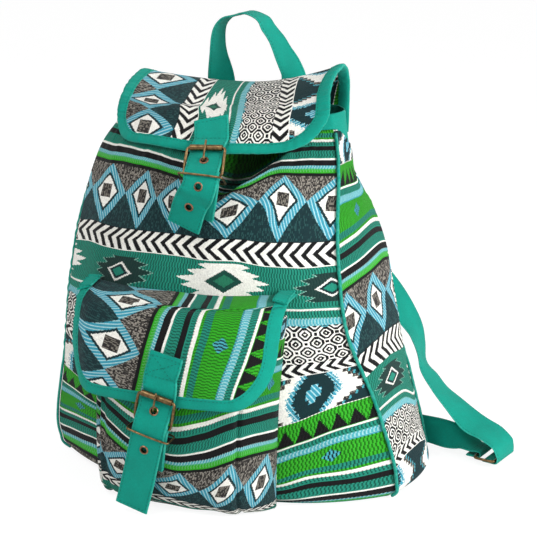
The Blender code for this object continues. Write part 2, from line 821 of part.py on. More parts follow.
def build_buckle_tab(name, place, straight, lower_end, end_across, material):
    """Canvas tab folded round the heel bar, with a slot for the prong."""
    bend = WIRE + SEAM_GAP + CANVAS / 2
    layer = CANVAS / 2 + SEAM_GAP / 2
    low = np.asarray(lower_end, float)
    neck = place.at(0, -TAB_NECK, 0)
    turn = place.at(0, -straight, 0)
    line = []
    wides = []
    for share in (0.0, 0.3, 0.55, 0.8, 1.0):
        rest = 1 - share
        line.append(rest ** 2 * low + 2 * rest * share * turn + share ** 2 * neck)
        wides.append(unit(np.asarray(end_across, float)) * rest + place.across * share)
    normals = []
    for tangent, wide in zip(path_tangents(line), wides):
        normal = unit(np.cross(wide, tangent))
        normals.append(normal if np.dot(normal, place.out) > 0 else -normal)
    centres = [point + normal * layer for point, normal in zip(line, normals)]
    for around in np.linspace(0, math.pi, 7):
        centres.append(place.at(0, bend * math.sin(around), bend * math.cos(around)))
    centres += [point - normal * layer for point, normal in reversed(list(zip(line, normals)))]
    across = wides + [place.across] * 7 + wides[::-1]
    slot = (len(line) - 1, len(centres) - len(line))
    return slotted_ribbon(name, centres, across, STRAP_WIDTH, CANVAS, SLOT_WIDTH, slot, material)


def build_eyelet(name, centre, normal, across, material):
    """Metal ring through a strap: a barrel in the hole and a flange on the face."""
    other = np.cross(normal, across)
    half = STRAP_THICKNESS / 2
    barrel = EYELET_INSIDE + EYELET_BARREL
    face = half + SEAM_GAP
    profile = ((EYELET_INSIDE, -face), (EYELET_INSIDE, face + EYELET_FLANGE),
               (EYELET_OUTSIDE, face + EYELET_FLANGE * 0.6), (EYELET_OUTSIDE, face),
               (barrel, face), (barrel, -face))
    sections = []
    for k in range(EYELET_SIDES):
        turn = 2 * math.pi * k / EYELET_SIDES
        way = across * math.cos(turn) + other * math.sin(turn)
        sections.append([centre + way * r + normal * h for r, h in profile])
    return swept(name, sections, material, closed=True)


def build_buckled_strap(name, upper, upper_across, place, lower, lower_across, holed, cloth, metal):
    """Strap from its sewn end, through its buckle, to its free end, with its eyelets."""
    centres = list(upper) + [place.at(0, y, z) for y, z in STRAP_IN_BUCKLE]
    across = list(upper_across) + [place.across] * len(STRAP_IN_BUCKLE)
    holes = [len(upper) + HOLE_IN_BUCKLE]
    stops = [centres[-1]] + list(lower)
    for i, (point, wide) in enumerate(zip(lower, lower_across)):
        if i in holed:
            way = unit(unit(stops[i + 2] - point) + unit(point - stops[i]))
            holes.append(len(centres))
            centres += [point - way * HOLE_SPAN, point + way * HOLE_SPAN]
            across += [wide, wide]
        else:
            centres.append(point)
            across.append(wide)
    strap = ribbon(name, centres, across, STRAP_WIDTH, STRAP_THICKNESS, cloth, holes)
    for index, i in enumerate(holes, 1):
        way = unit(centres[i + 1] - centres[i])
        wide = unit(across[i] - way * np.dot(across[i], way))
        normal = np.cross(way, wide)
        if np.dot(normal, place.out) < 0:
            normal = -normal
        build_eyelet(f"{name}_eyelet_{index}", (centres[i] + centres[i + 1]) / 2, normal, wide, metal)
    return strap


LID_STRAP_START = ((-0.0022, 0.033), (-0.0002, 0.026), (0.0017, 0.019), (0.0037, 0.012))
LID_STRAP_END = ((-0.0036, -0.1104, 0.2675), (-0.0080, -0.1076, 0.2575), (-0.0125, -0.1040, 0.2475))
LID_STRAP_TILTS = (-0.15, -0.22, -0.27, -0.30)
LID_SECOND_HOLE = (-0.0008, -0.0116, 0.0034)
LID_BUCKLE_X = 0.0042
LID_HEEL_TILT = -0.12
LID_STRAP_LEAN = 0.10
LID_BUCKLE_STANDOFF = 0.0022
LID_STRAP_DROP = 0.30
# Each wire keeper: how far below the heel bar, its slope, and height of its front rail
LID_KEEPER = (0.0030, 0.10, 0.0082)
POCKET_KEEPER = (0.0085, 0.02, 0.0078)
LID_TAB_RUN = 0.0145
POCKET_TAB_RUN = 0.020
LID_TAB_END = (-0.0015, 0.258)
POCKET_STRAP_START = ((-0.0045, 0.0375), (-0.0065, 0.0300), (-0.0092, 0.0225))
POCKET_STRAP_END = ((-0.0212, -0.1752, 0.0655), (-0.0295, -0.1725, 0.0345), (-0.0375, -0.1710, 0.0068))
POCKET_STRAP_TILTS = (-0.27, -0.27, -0.27)
POCKET_BUCKLE_X = -0.0120
POCKET_BUCKLE_RISE = 0.0105
POCKET_HEEL_TILT = -0.29
POCKET_STRAP_LEAN = -0.0080
POCKET_STRAP_TUCK = 0.0058
POCKET_TAB_END = (-0.0255, 0.045)


def strap_rise():
    """Height of a strap's middle over the face of a flap with a bound edge."""
    return (BINDING_HEIGHT - FABRIC) / 2 + LAYER_GAP + STRAP_THICKNESS / 2


def lid_strap_and_buckle(cloth, metal):
    across_lid = LID_BUCKLE_X - FLAP_X
    tip = lid_surface(across_lid, LID_LENGTH)
    down = unit(tip - lid_surface(across_lid, LID_LENGTH - 0.012))
    normal = surface_normal(lid_surface, across_lid, LID_LENGTH - 0.006)
    roller = tip + normal * (strap_rise() - STRAP_IN_BUCKLE[0][1] + LID_BUCKLE_STANDOFF) + down * 0.001
    down = unit(down + np.array([LID_STRAP_LEAN, 0.0, -LID_STRAP_DROP]))
    place = BuckleFrame(roller + down * BUCKLE_LENGTH, np.array([1.0, 0.0, LID_HEEL_TILT]), -down)
    build_buckle("lid", place, LID_KEEPER, metal)

    upper = []
    upper_across = []
    for x, back in LID_STRAP_START:
        a = x - FLAP_X
        b = LID_LENGTH - back
        upper.append(lid_surface(a, b) + surface_normal(lid_surface, a, b) * strap_rise())
        upper_across.append(lid_surface(a + STRAP_WIDTH / 2, b) - lid_surface(a - STRAP_WIDTH / 2, b))
    lower = [place.at(*LID_SECOND_HOLE)]
    lower += [np.array(point) for point in LID_STRAP_END]
    lower_across = [np.array([1.0, 0.05, tilt]) for tilt in LID_STRAP_TILTS]
    build_buckled_strap("lid_strap", upper, upper_across, place, lower, lower_across, (0, 1), cloth, metal)
    x, z = LID_TAB_END
    end = np.array([x, front_y(x, z) - CANVAS - 3 * LAYER_GAP, z])
    build_buckle_tab("lid_buckle_tab", place, LID_TAB_RUN, end, (1.0, 0.0, -0.28), cloth)


def pocket_strap_and_buckle(cloth, metal):
    across_flap = POCKET_BUCKLE_X - POCKET_FLAP_X
    tip = pocket_flap_surface(across_flap, POCKET_FLAP_LENGTH)
    before = pocket_flap_surface(across_flap, POCKET_FLAP_LENGTH - 0.03)
    down = unit(tip - before + np.array([POCKET_STRAP_LEAN, POCKET_STRAP_TUCK, 0.0]))
    normal = surface_normal(pocket_flap_surface, across_flap, POCKET_FLAP_LENGTH - POCKET_BUCKLE_RISE)
    rise = strap_rise() + SEAM_GAP
    roller = tip + normal * (rise - STRAP_IN_BUCKLE[0][1]) - down * POCKET_BUCKLE_RISE
    place = BuckleFrame(roller + down * BUCKLE_LENGTH, np.array([1.0, 0.0, POCKET_HEEL_TILT]), -down)
    build_buckle("pocket", place, POCKET_KEEPER, metal)

    upper = []
    for x, back in POCKET_STRAP_START:
        a = x - POCKET_FLAP_X
        b = POCKET_FLAP_LENGTH - back
        normal = surface_normal(pocket_flap_surface, a, b)
        upper.append(pocket_flap_surface(a, b) + normal * rise)
    upper_across = [np.array([1.0, 0.0, -0.20])] * len(upper)
    lower = [np.array(point) for point in POCKET_STRAP_END]
    lower_across = [np.array([1.0, 0.0, tilt]) for tilt in POCKET_STRAP_TILTS]
    build_buckled_strap("pocket_strap", upper, upper_across, place, lower, lower_across, (0,), cloth, metal)
    x, z = POCKET_TAB_END
    end = np.array([x, front_y(x, z) - POCKET_DEPTH * 1.29, z])
    build_buckle_tab("pocket_buckle_tab", place, POCKET_TAB_RUN, end, (1.0, 0.0, -0.26), cloth)


# Handle and shoulder straps

# Carrying loop: x, height above the mouth (below it for the sewn feet), distance
# behind the back panel, and turn of its width from left-right to front-back
HANDLE_LINE = (
    (-0.0400, -0.064, 0.0015, 0), (-0.0400, -0.039, 0.0015, 0), (-0.0410, -0.028, 0.0048, 0),
    (-0.0425, -0.010, 0.0080, 5), (-0.0440, 0.012, 0.0095, 30), (-0.0445, 0.038, 0.0025, 72),
    (-0.0409, 0.0633, -0.0040, 85), (-0.0324, 0.075, -0.0060, 88), (-0.0213, 0.0782, -0.0060, 90),
    (-0.0102, 0.0808, -0.0060, 90), (0.0028, 0.0762, -0.0060, 86), (0.0091, 0.0671, -0.0040, 80),
    (0.0169, 0.0558, -0.0020, 76), (0.0226, 0.0409, 0.0030, 70), (0.0275, 0.0259, 0.0110, 60),
    (0.0295, 0.010, 0.0140, 35), (0.0310, -0.010, 0.0085, 5), (0.0320, -0.028, 0.0048, 0),
    (0.0320, -0.039, 0.0015, 0), (0.0320, -0.064, 0.0015, 0),
)


def build_handle(material):
    """Carrying loop sewn flat to the back panel, its width turned front to back at the top."""
    count = 36
    centres = []
    across = []
    for x, rise, behind, turn in smooth_run(HANDLE_LINE, count):
        if rise > 0:
            rise *= HANDLE_HEIGHT / 0.081
        z = BODY_HEIGHT + rise
        centres.append(np.array([x, back_y(x, min(z, BACK_PANEL_TOP)) + behind, z]))
        turn = math.radians(turn)
        lie = back_slope(x, min(z, BACK_PANEL_TOP)) * math.cos(turn)
        across.append(np.array([math.cos(turn), math.sin(turn) + lie, 0.0]))
    return ribbon("grab_handle", centres, across, HANDLE_WIDTH, CANVAS, material)


# Edges of the right shoulder strap from where it leaves the back to its end
RIGHT_STRAP_NEAR = (
    (0.012, 0.0643, 0.268), (0.0135, 0.0678, 0.250), (0.022, 0.0745, 0.234), (0.050, 0.078, 0.203),
    (0.086, 0.084, 0.163), (0.120, 0.085, 0.135), (0.1399, 0.083, 0.1127), (0.1506, 0.078, 0.1010),
    (0.1601, 0.072, 0.0845), (0.1655, 0.066, 0.0727), (0.1762, 0.060, 0.0617), (0.1889, 0.054, 0.0500),
    (0.2092, 0.045, 0.0320), (0.2270, 0.039, 0.0271), (0.2400, 0.035, 0.0214), (0.2455, 0.034, 0.0130),
)
RIGHT_STRAP_FAR = (
    (0.050, 0.0616, 0.268), (0.0515, 0.0648, 0.250), (0.058, 0.078, 0.238), (0.076, 0.098, 0.222),
    (0.100, 0.112, 0.184), (0.126, 0.119, 0.149), (0.1456, 0.120, 0.1173), (0.1524, 0.116, 0.0950),
    (0.1557, 0.109, 0.0770), (0.1688, 0.103, 0.0658), (0.1817, 0.097, 0.0547), (0.1997, 0.090, 0.0458),
    (0.2226, 0.080, 0.0347), (0.2422, 0.074, 0.0282), (0.2530, 0.071, 0.0195), (0.2545, 0.071, 0.0125),
)
# Middle line of the left shoulder strap: x, distance behind the back panel, height,
# and turn of its width
LEFT_STRAP_LINE = (
    (-0.031, 0.0015, 0.268, 180), (-0.032, 0.0020, 0.250, 180), (-0.040, 0.010, 0.228, 178),
    (-0.056, 0.032, 0.190, 172), (-0.074, 0.055, 0.145, 165), (-0.088, 0.067, 0.105, 158),
    (-0.096, 0.070, 0.070, 152), (-0.099, 0.066, 0.040, 146), (-0.1000, 0.0560, 0.0240, 140),
    (-0.1019, 0.0497, 0.0138, 139),
)


# Run of the lower straps from their adjusters to the back of the bag, with the way
# their width points
RIGHT_LOWER_STRAP = (
    (np.array([0.2070, 0.0640, 0.0145]), np.array([0.05, 0.80, 0.45])),
    (np.array([0.1900, 0.0665, 0.0165]), np.array([0.05, 0.50, 0.85])),
    (np.array([0.1740, 0.0695, 0.0175]), np.array([0.05, 0.15, 1.00])),
    (np.array([0.1600, 0.0685, 0.0190]), np.array([0.0, 0.05, 1.00])),
    (np.array([0.1460, 0.0650, 0.0200]), np.array([0.0, 0.0, 1.00])),
)
LEFT_LOWER_STRAP = (
    (np.array([-0.1290, 0.0810, 0.0130]), np.array([-0.40, 0.40, 0.80])),
    (np.array([-0.1380, 0.0720, 0.0170]), np.array([-0.20, 0.20, 0.95])),
    (np.array([-0.1470, 0.0665, 0.0190]), np.array([0.0, 0.0, 1.0])),
)


def strap_from_edges(near, far, count):
    """Centre line and width direction of a strap given by its two edges."""
    near_run = smooth_run(near, count)
    far_run = smooth_run(far, count)
    centres = [(a + b) / 2 for a, b in zip(near_run, far_run)]
    across = [b - a for a, b in zip(near_run, far_run)]
    return centres, across


def strap_behind_back(line, count):
    """Centre line and width direction of a strap told by its distance behind the bag."""
    centres = []
    across = []
    for x, behind, z, turn in smooth_run(line, count):
        centres.append(np.array([x, back_y(x, z) + behind, z]))
        turn = math.radians(turn)
        lie = back_slope(x, z) * math.cos(turn)
        across.append(np.array([math.cos(turn), math.sin(turn) + lie, 0.0]))
    return centres, across


def build_adjuster(name, outer_bar, across, inward, material):
    """Flat wire loop that joins a shoulder strap to its lower strap."""
    across = unit(across)
    inward = unit(inward - across * np.dot(inward, across))
    half = SHOULDER_WIDTH / 2 + WIRE + LAYER_GAP
    corner = BUCKLE_CORNER
    loop = []
    for cx, cy, start in ((half, ADJUSTER_LENGTH, 0), (-half, ADJUSTER_LENGTH, 90),
                          (-half, 0, 180), (half, 0, 270)):
        for k in range(4):
            turn = math.radians(start + 30 * k)
            x = cx - math.copysign(corner, cx) + corner * math.cos(turn)
            y = cy + (-corner if cy > 0 else corner) + corner * math.sin(turn)
            loop.append(outer_bar + across * x + inward * y)
    return tube(name, loop, WIRE, material, closed=True, first=np.cross(across, inward))


def build_shoulder_set(side, centres, across, bar, inward, corner_end, cloth, metal):
    """Shoulder strap, its wire adjuster and the short lower strap on one side."""
    wide = unit(across[-1])
    inward = unit(inward - wide * np.dot(inward, wide))
    flat_up = np.cross(wide, inward)
    if flat_up[2] < 0:
        flat_up = -flat_up
    fold = WIRE + LAYER_GAP + CANVAS / 2
    out = -inward
    ring = []
    for turn in np.linspace(math.radians(12), math.radians(-90), 5):
        ring.append(bar + fold * (out * math.cos(turn) + flat_up * math.sin(turn)))
    tail = [ring[-1] + inward * step for step in (0.006, 0.012)]
    run = centres + ring + tail
    run_across = list(across) + [wide] * (len(ring) + len(tail))
    ribbon(f"shoulder_strap_{side}", run, run_across, SHOULDER_WIDTH, CANVAS, cloth)
    build_adjuster(f"strap_adjuster_{side}", bar, wide, inward, metal)

    inner_bar = bar + inward * ADJUSTER_LENGTH
    loop = []
    for turn in np.linspace(math.radians(-90), math.radians(90), 7):
        loop.append(inner_bar + fold * (out * math.cos(turn) + flat_up * math.sin(turn)))
    start = [loop[0] + inward * step for step in (0.012, 0.008, 0.004)]
    leave = loop[-1] + inward * 0.006 - flat_up * 0.0006
    run = start + loop + [leave] + [point for point, _ in corner_end]
    run_across = [wide] * (len(start) + len(loop) + 1) + [turned for _, turned in corner_end]
    ribbon(f"lower_strap_{side}", run, run_across, LOWER_STRAP_WIDTH, CANVAS, cloth)


def build_anchor_patch(material):
    """Canvas patch sewn over the ends of the handle and the shoulder straps."""
    wide = ANCHOR_WIDTH
    centre_x = ANCHOR_X
    outer = []
    inner = []
    for i in range(9):
        x = centre_x + wide * (i / 8 - 0.5)
        outer_column = []
        inner_column = []
        for j in range(4):
            z = BACK_PANEL_TOP - ANCHOR_HEIGHT + ANCHOR_HEIGHT * j / 3
            y = back_y(x, z) + ANCHOR_STANDOFF
            outer_column.append(np.array([x, y + CANVAS, z]))
            inner_column.append(np.array([x, y, z]))
        outer.append(outer_column)
        inner.append(inner_column)
    return shell_between("strap_anchor_patch", outer, inner, material)


def main():
    global LID_LENGTH
    for thing in list(bpy.data.objects):
        bpy.data.objects.remove(thing)

    jacquard = make_material("jacquard", (0.10, 0.30, 0.26), 0.9)
    canvas = make_material("teal_canvas", (0.01, 0.42, 0.33), 0.85)
    brass = make_material("antique_brass", (0.24, 0.18, 0.11), 0.4, 1.0)

    build_panel("front_panel", "front", 19, jacquard)
    build_panel("right_side_panel", "right", 8, jacquard)
    build_panel("back_panel", "back", 11, jacquard)
    build_panel("left_side_panel", "left", 8, jacquard)
    build_base(canvas)
    build_mouth_band(canvas)
    build_piping("piping_front_right", "front", canvas)
    build_piping("piping_back_right", "right", canvas)
    build_piping("piping_back_left", "back", canvas)
    build_piping("piping_front_left", "left", canvas)

    LID_LENGTH = lid_length()
    build_flap("lid_flap", lid_surface, FLAP_WIDTH, LID_LENGTH, FLAP_CORNER, 15, 17, jacquard)
    build_binding("lid_binding", lid_surface, FLAP_WIDTH, LID_LENGTH, FLAP_CORNER, 0.012, canvas)
    lid_strap_and_buckle(canvas, brass)

    build_pocket(jacquard)
    build_flap("pocket_flap", pocket_flap_surface, POCKET_FLAP_WIDTH, POCKET_FLAP_LENGTH,
               POCKET_FLAP_CORNER, 15, 13, jacquard)
    build_binding("pocket_flap_binding", pocket_flap_surface, POCKET_FLAP_WIDTH,
                  POCKET_FLAP_LENGTH, POCKET_FLAP_CORNER, 0.012, canvas)
    pocket_strap_and_buckle(canvas, brass)

    build_handle(canvas)
    centres, across = strap_from_edges(RIGHT_STRAP_NEAR, RIGHT_STRAP_FAR, 30)
    build_shoulder_set("right", centres, across, np.array([0.2475, 0.0532, 0.0080]),
                       np.array([-1.0, 0.24, 0.0]), RIGHT_LOWER_STRAP, canvas, brass)
    centres, across = strap_behind_back(LEFT_STRAP_LINE, 26)
    build_shoulder_set("left", centres, across, np.array([-0.105, 0.110, 0.0080]),
                       np.array([-0.66, -0.75, 0.0]), LEFT_LOWER_STRAP, canvas, brass)
    build_anchor_patch(canvas)


main()
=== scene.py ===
"""Canvas and jacquard rucksack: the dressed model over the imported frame.

Metres, +Z up, +X to the right of someone who faces the front, front towards -Y.
"""
import math

import bmesh
import bpy
import numpy as np
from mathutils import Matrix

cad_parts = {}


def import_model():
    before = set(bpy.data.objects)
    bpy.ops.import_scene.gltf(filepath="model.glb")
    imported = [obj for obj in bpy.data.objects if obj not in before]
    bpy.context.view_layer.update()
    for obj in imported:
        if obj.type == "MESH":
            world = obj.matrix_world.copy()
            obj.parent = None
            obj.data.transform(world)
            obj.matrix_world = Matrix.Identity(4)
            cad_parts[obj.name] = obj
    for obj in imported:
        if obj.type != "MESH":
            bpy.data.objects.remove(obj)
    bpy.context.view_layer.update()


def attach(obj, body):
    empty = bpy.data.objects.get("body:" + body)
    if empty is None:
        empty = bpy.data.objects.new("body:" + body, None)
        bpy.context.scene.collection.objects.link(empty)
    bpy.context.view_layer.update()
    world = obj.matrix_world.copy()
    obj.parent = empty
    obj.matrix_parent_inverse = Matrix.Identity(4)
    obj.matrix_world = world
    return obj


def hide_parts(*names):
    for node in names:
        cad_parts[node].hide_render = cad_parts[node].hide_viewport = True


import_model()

# Cloth and clearances, in metres
FABRIC = 0.0025
CANVAS = 0.0018
SEAM_GAP = 0.0003
LAYER_GAP = 0.0005
FLAT_STEP = 0.0004

# Body of the bag
BODY_HEIGHT = 0.338
BASE_WIDTH = 0.340
BASE_DEPTH = 0.118
FRONT_BULGE = 0.055
SIDE_BULGE = 0.009
SIDE_SAG = 0.6
SAG_HEIGHT = 0.10
BACK_BULGE = 0.010
BOTTOM_ROLL = 0.010
BULGE_POWER = 2.8
FRONT_PANEL_TOP = 0.325
BACK_PANEL_TOP = 0.297

# Heights as shares of the body, then lean, front and back half widths, the y of
# the right and left front seams and of the back seams, and the bulge of the front
STATIONS = (
    (0.00, 0.0065, 0.979, 0.970, -0.510, -0.500, 0.500, 1.05),
    (0.09, 0.0015, 0.991, 0.965, -0.510, -0.510, 0.490, 1.05),
    (0.27, -0.0052, 0.905, 0.910, -0.490, -0.510, 0.490, 1.05),
    (0.44, -0.0165, 0.809, 0.909, -0.445, -0.490, 0.490, 1.03),
    (0.65, -0.0188, 0.740, 0.825, -0.320, -0.425, 0.505, 1.02),
    (0.89, -0.0100, 0.659, 0.565, -0.215, -0.360, 0.400, 0.95),
    (1.02, -0.0007, 0.537, 0.492, -0.080, -0.230, 0.330, 0.45),
)

# Hollow under the flap, and the gathers of the drawn mouth
DENT_X = 0.034
DENT_Z = 0.318
DENT_WIDTH = 0.026
DENT_HEIGHT = 0.026
DENT_DEPTH = 0.016
GATHER_PITCH = 0.034
GATHER_DEPTH = 0.0028
GATHER_START = 0.245

# Lid flap
FLAP_WIDTH = 0.193
FLAP_X = -0.006
FLAP_CORNER = 0.033
FLAP_RIGHT_LIFT = 0.021
FLAP_LEFT_LIFT = 0.008
FLAP_SPREAD = 0.009
FLAP_CREST = 0.0185
BINDING_WIDTH = 0.0105
BINDING_HEIGHT = 0.0044

# Front pocket
POCKET_WIDTH = 0.162
POCKET_X = -0.004
POCKET_DEPTH = 0.034
POCKET_TOP = 0.170
POCKET_FLAP_WIDTH = 0.1935
POCKET_FLAP_X = -0.0138
POCKET_FLAP_ROOT = 0.189
POCKET_FLAP_LENGTH = 0.111
POCKET_FLAP_CORNER = 0.036

# Straps and buckles
STRAP_WIDTH = 0.031
STRAP_THICKNESS = 0.0024
HANDLE_WIDTH = 0.027
SHOULDER_WIDTH = 0.038
LOWER_STRAP_WIDTH = 0.027
WIRE = 0.0013
THIN_WIRE = 0.0009
BUCKLE_LENGTH = 0.026
BUCKLE_HALF_WIDTH = 0.0170
BUCKLE_CORNER = 0.002
ROLLER_RADIUS = 0.0027
ROLLER_LENGTH = 0.0292
RUNNING_GAP = 0.00006
EYELET_INSIDE = 0.0028
EYELET_BARREL = 0.0004
EYELET_OUTSIDE = 0.0041
EYELET_FLANGE = 0.0006
HOLE_SPAN = 0.0048
SLOT_WIDTH = 0.0046
TAB_NECK = 0.0060
ADJUSTER_LENGTH = 0.020
ANCHOR_WIDTH = 0.118
ANCHOR_HEIGHT = 0.038
ANCHOR_X = -0.002
ANCHOR_STANDOFF = 0.0036
ANCHOR_SEAM = 0.003


def unit(vector):
    vector = np.asarray(vector, float)
    return vector / np.linalg.norm(vector)


def curve_through(points, share):
    """Point at a share of the way along a smooth curve through the points."""
    points = np.asarray(points, float)
    last = len(points) - 1
    place = min(max(share, 0.0), 1.0) * last
    start = min(int(place), last - 1)
    t = place - start
    before = points[max(start - 1, 0)]
    a = points[start]
    b = points[start + 1]
    after = points[min(start + 2, last)]
    return 0.5 * (
        2 * a
        + (b - before) * t
        + (2 * before - 5 * a + 4 * b - after) * t ** 2
        + (3 * a - before - 3 * b + after) * t ** 3
    )


def smooth_run(points, count):
    return [curve_through(points, i / (count - 1)) for i in range(count)]


def table_value(table, key, column):
    """Smooth value of one column of a table at a key in its first column."""
    keys = [row[0] for row in table]
    values = [row[column] for row in table]
    key = min(max(key, keys[0]), keys[-1])
    i = max(j for j in range(len(keys) - 1) if keys[j] <= key)
    span = keys[i + 1] - keys[i]
    t = (key - keys[i]) / span

    def slope(j):
        low = max(j - 1, 0)
        high = min(j + 1, len(keys) - 1)
        return (values[high] - values[low]) / (keys[high] - keys[low])

    h00 = 2 * t ** 3 - 3 * t ** 2 + 1
    h10 = t ** 3 - 2 * t ** 2 + t
    h01 = -2 * t ** 3 + 3 * t ** 2
    h11 = t ** 3 - t ** 2
    return (
        h00 * values[i] + h10 * span * slope(i)
        + h01 * values[i + 1] + h11 * span * slope(i + 1)
    )


def smooth_step(low, high, value):
    t = min(max((value - low) / (high - low), 0.0), 1.0)
    return t * t * (3 - 2 * t)


def path_tangents(points, closed=False):
    points = [np.asarray(p, float) for p in points]
    count = len(points)
    tangents = []
    for i in range(count):
        if closed:
            step = points[(i + 1) % count] - points[i - 1]
        else:
            step = points[min(i + 1, count - 1)] - points[max(i - 1, 0)]
        tangents.append(unit(step))
    return tangents


def ribbon_frames(centres, across):
    """Place, width direction and normal of each station of a strap."""
    frames = []
    for point, tangent, wide in zip(centres, path_tangents(centres), across):
        wide = unit(wide - tangent * np.dot(wide, tangent))
        frames.append((np.asarray(point, float), wide, np.cross(tangent, wide)))
    return frames


# Form of the body

def seam_places(z):
    """Plan positions of the seams at a height: front right, back right, back left, front left."""
    values = (table_value(STATIONS, z / BODY_HEIGHT, column) for column in range(1, 7))
    lean, front, back, y_right, y_left, y_back = values
    front = front * BASE_WIDTH / 2
    back = back * BASE_WIDTH / 2
    return tuple(np.array([x, y * BASE_DEPTH]) for x, y in (
        (lean + front, y_right), (lean + back, y_back), (lean - back, y_back),
        (lean - front, y_left)))


def front_bulge(t, z):
    return FRONT_BULGE * table_value(STATIONS, z / BODY_HEIGHT, 7) * (1 - abs(t) ** BULGE_POWER)


def front_relief(x, z):
    """How far the front is pushed in by its dent and gathers."""
    beside = (x - DENT_X) / DENT_WIDTH
    above = (z - DENT_Z) / DENT_HEIGHT
    dent = DENT_DEPTH * math.exp(-beside ** 2 - above ** 2)
    gather = GATHER_DEPTH * (0.5 - 0.5 * math.cos(2 * math.pi * x / GATHER_PITCH))
    return dent + gather * smooth_step(GATHER_START, BODY_HEIGHT, z)


def bottom_inset(z):
    if z >= BOTTOM_ROLL:
        return 0.0
    return BOTTOM_ROLL * (1 - math.sqrt(1 - (1 - z / BOTTOM_ROLL) ** 2))


def body_point(side, t, z):
    """Outer face of the bag: t runs from -1 to 1 along one side at a height."""
    corners = seam_places(z)
    start, end = {"front": (3, 0), "right": (0, 1), "back": (1, 2), "left": (2, 3)}[side]
    a = corners[start]
    b = corners[end]
    place = a + (b - a) * (t + 1) / 2
    along = unit(b - a)
    outward = np.array([along[1], -along[0]])
    if side == "front":
        fade = min(1.0, 4 * (1 - abs(t)))
        place = place + np.array([0.0, -front_bulge(t, z) + front_relief(place[0], z) * fade])
    elif side == "back":
        place = place + outward * BACK_BULGE * (1 - t * t)
    else:
        sag = 1 + SIDE_SAG * (1 - smooth_step(0.0, SAG_HEIGHT, z))
        place = place + outward * SIDE_BULGE * sag * (1 - t * t)
    middle = sum(corners) / 4
    away = place - middle
    place = middle + away * (1 - bottom_inset(z) / np.linalg.norm(away))
    return np.array([place[0], place[1], z])


def body_normal(side, t, z):
    step = FLAT_STEP
    along = body_point(side, min(t + step, 1.0), z) - body_point(side, max(t - step, -1.0), z)
    up = body_point(side, t, z + step) - body_point(side, t, z - step)
    return unit(np.cross(along, up))


def across_panel(x, right, left):
    """How far a place lies across a panel between its seams, from -1 to 1."""
    t = 2 * (x - left[0]) / (right[0] - left[0]) - 1
    return min(max(t, -1.0), 1.0)


def front_form(x, z):
    """Front of the bag above a point on the floor plan, without its dent and gathers."""
    right, _, _, left = seam_places(z)
    t = across_panel(x, right, left)
    base = left[1] + (right[1] - left[1]) * (t + 1) / 2
    return base - front_bulge(t, z), min(1.0, 4 * (1 - abs(t)))


def front_y(x, z):
    """Outer face of the front panel above a point on the floor plan."""
    place, fade = front_form(x, z)
    return place + front_relief(x, z) * fade


def back_y(x, z):
    """Outer face of the back panel above a point on the floor plan."""
    _, right, left, _ = seam_places(z)
    t = across_panel(x, right, left)
    return right[1] + BACK_BULGE * (1 - t * t)


def back_slope(x, z):
    return (back_y(x + FLAT_STEP, z) - back_y(x - FLAT_STEP, z)) / (2 * FLAT_STEP)


def panel_top(y):
    return FRONT_PANEL_TOP - (FRONT_PANEL_TOP - BACK_PANEL_TOP) * smooth_step(-0.02, 0.04, y)


# Flaps

def flap_edge(width, length, corner, spacing):
    """Free edge of a flap in its own plane, with the way inwards at each point."""
    half = width / 2
    straight = length - corner
    steps = max(2, round(straight / spacing))
    left = [((-half, straight * i / steps), (1, 0)) for i in range(steps)]
    turns = max(4, round(corner * math.pi / 2 / spacing * 1.5))
    for i in range(turns + 1):
        turn = math.pi / 2 * i / turns
        place = (-half + corner * (1 - math.cos(turn)), straight + corner * math.sin(turn))
        left.append((place, (math.cos(turn), -math.sin(turn))))
    flat = 2 * (half - corner)
    steps = max(2, round(flat / spacing))
    middle = [((-half + corner + flat * i / steps, length), (0, -1)) for i in range(1, steps)]
    right = [((-a, b), (-ia, ib)) for (a, b), (ia, ib) in reversed(left)]
    return left + middle + right


def surface_normal(surface, a, b):
    step = FLAT_STEP
    du = surface(a + step, b) - surface(a - step, b)
    dv = surface(a, b + step) - surface(a, max(b - step, 0.0))
    return unit(np.cross(dv, du))


# Middle line of the lid from its back seam to its front edge: share of the way
# from the back to the front of the bag, and height above the mouth
LID_LINE = (
    (0.000, -0.026), (-0.004, -0.010), (0.008, 0.0095), (0.180, 0.0185), (0.470, 0.0150),
    (0.690, 0.0060), (0.790, -0.0010), (0.900, -0.0130), (1.030, -0.0335),
)
# Shares of the lift at its right and left edges, and of the spread at its left, at each point
LID_RIGHT_RISE = (0.0, 0.1, 0.65, 1.0, 1.0, 0.90, 0.84, 0.80, 0.80)
LID_LEFT_RISE = (0.0, 0.1, 0.8, 1.0, 0.7, 0.55, 0.58, 0.6, 0.6)
LID_LEFT_REACH = (0.0, 0.1, 0.8, 1.0, 0.7, 0.3, 0.15, 0.0, 0.0)
LID_HEM_STANDOFF = 0.0016
LID_END_SETBACK = 0.020
LID_CLEARANCE = 0.0050


def clear_of_mouth(x, y, z):
    """Push a place on the lid out of the stuffed front and the mouth under it."""
    if z >= BODY_HEIGHT:
        distance = math.hypot(z - BODY_HEIGHT, max(0.0, front_form(x, BODY_HEIGHT)[0] - y))
    else:
        slope = (front_form(x, z + 0.004)[0] - front_form(x, z - 0.004)[0]) / 0.008
        distance = (front_form(x, z)[0] - y) / math.hypot(1.0, slope)
    push = max(0.0, LID_CLEARANCE - distance)
    return y - push * 0.7, z + push * 0.7


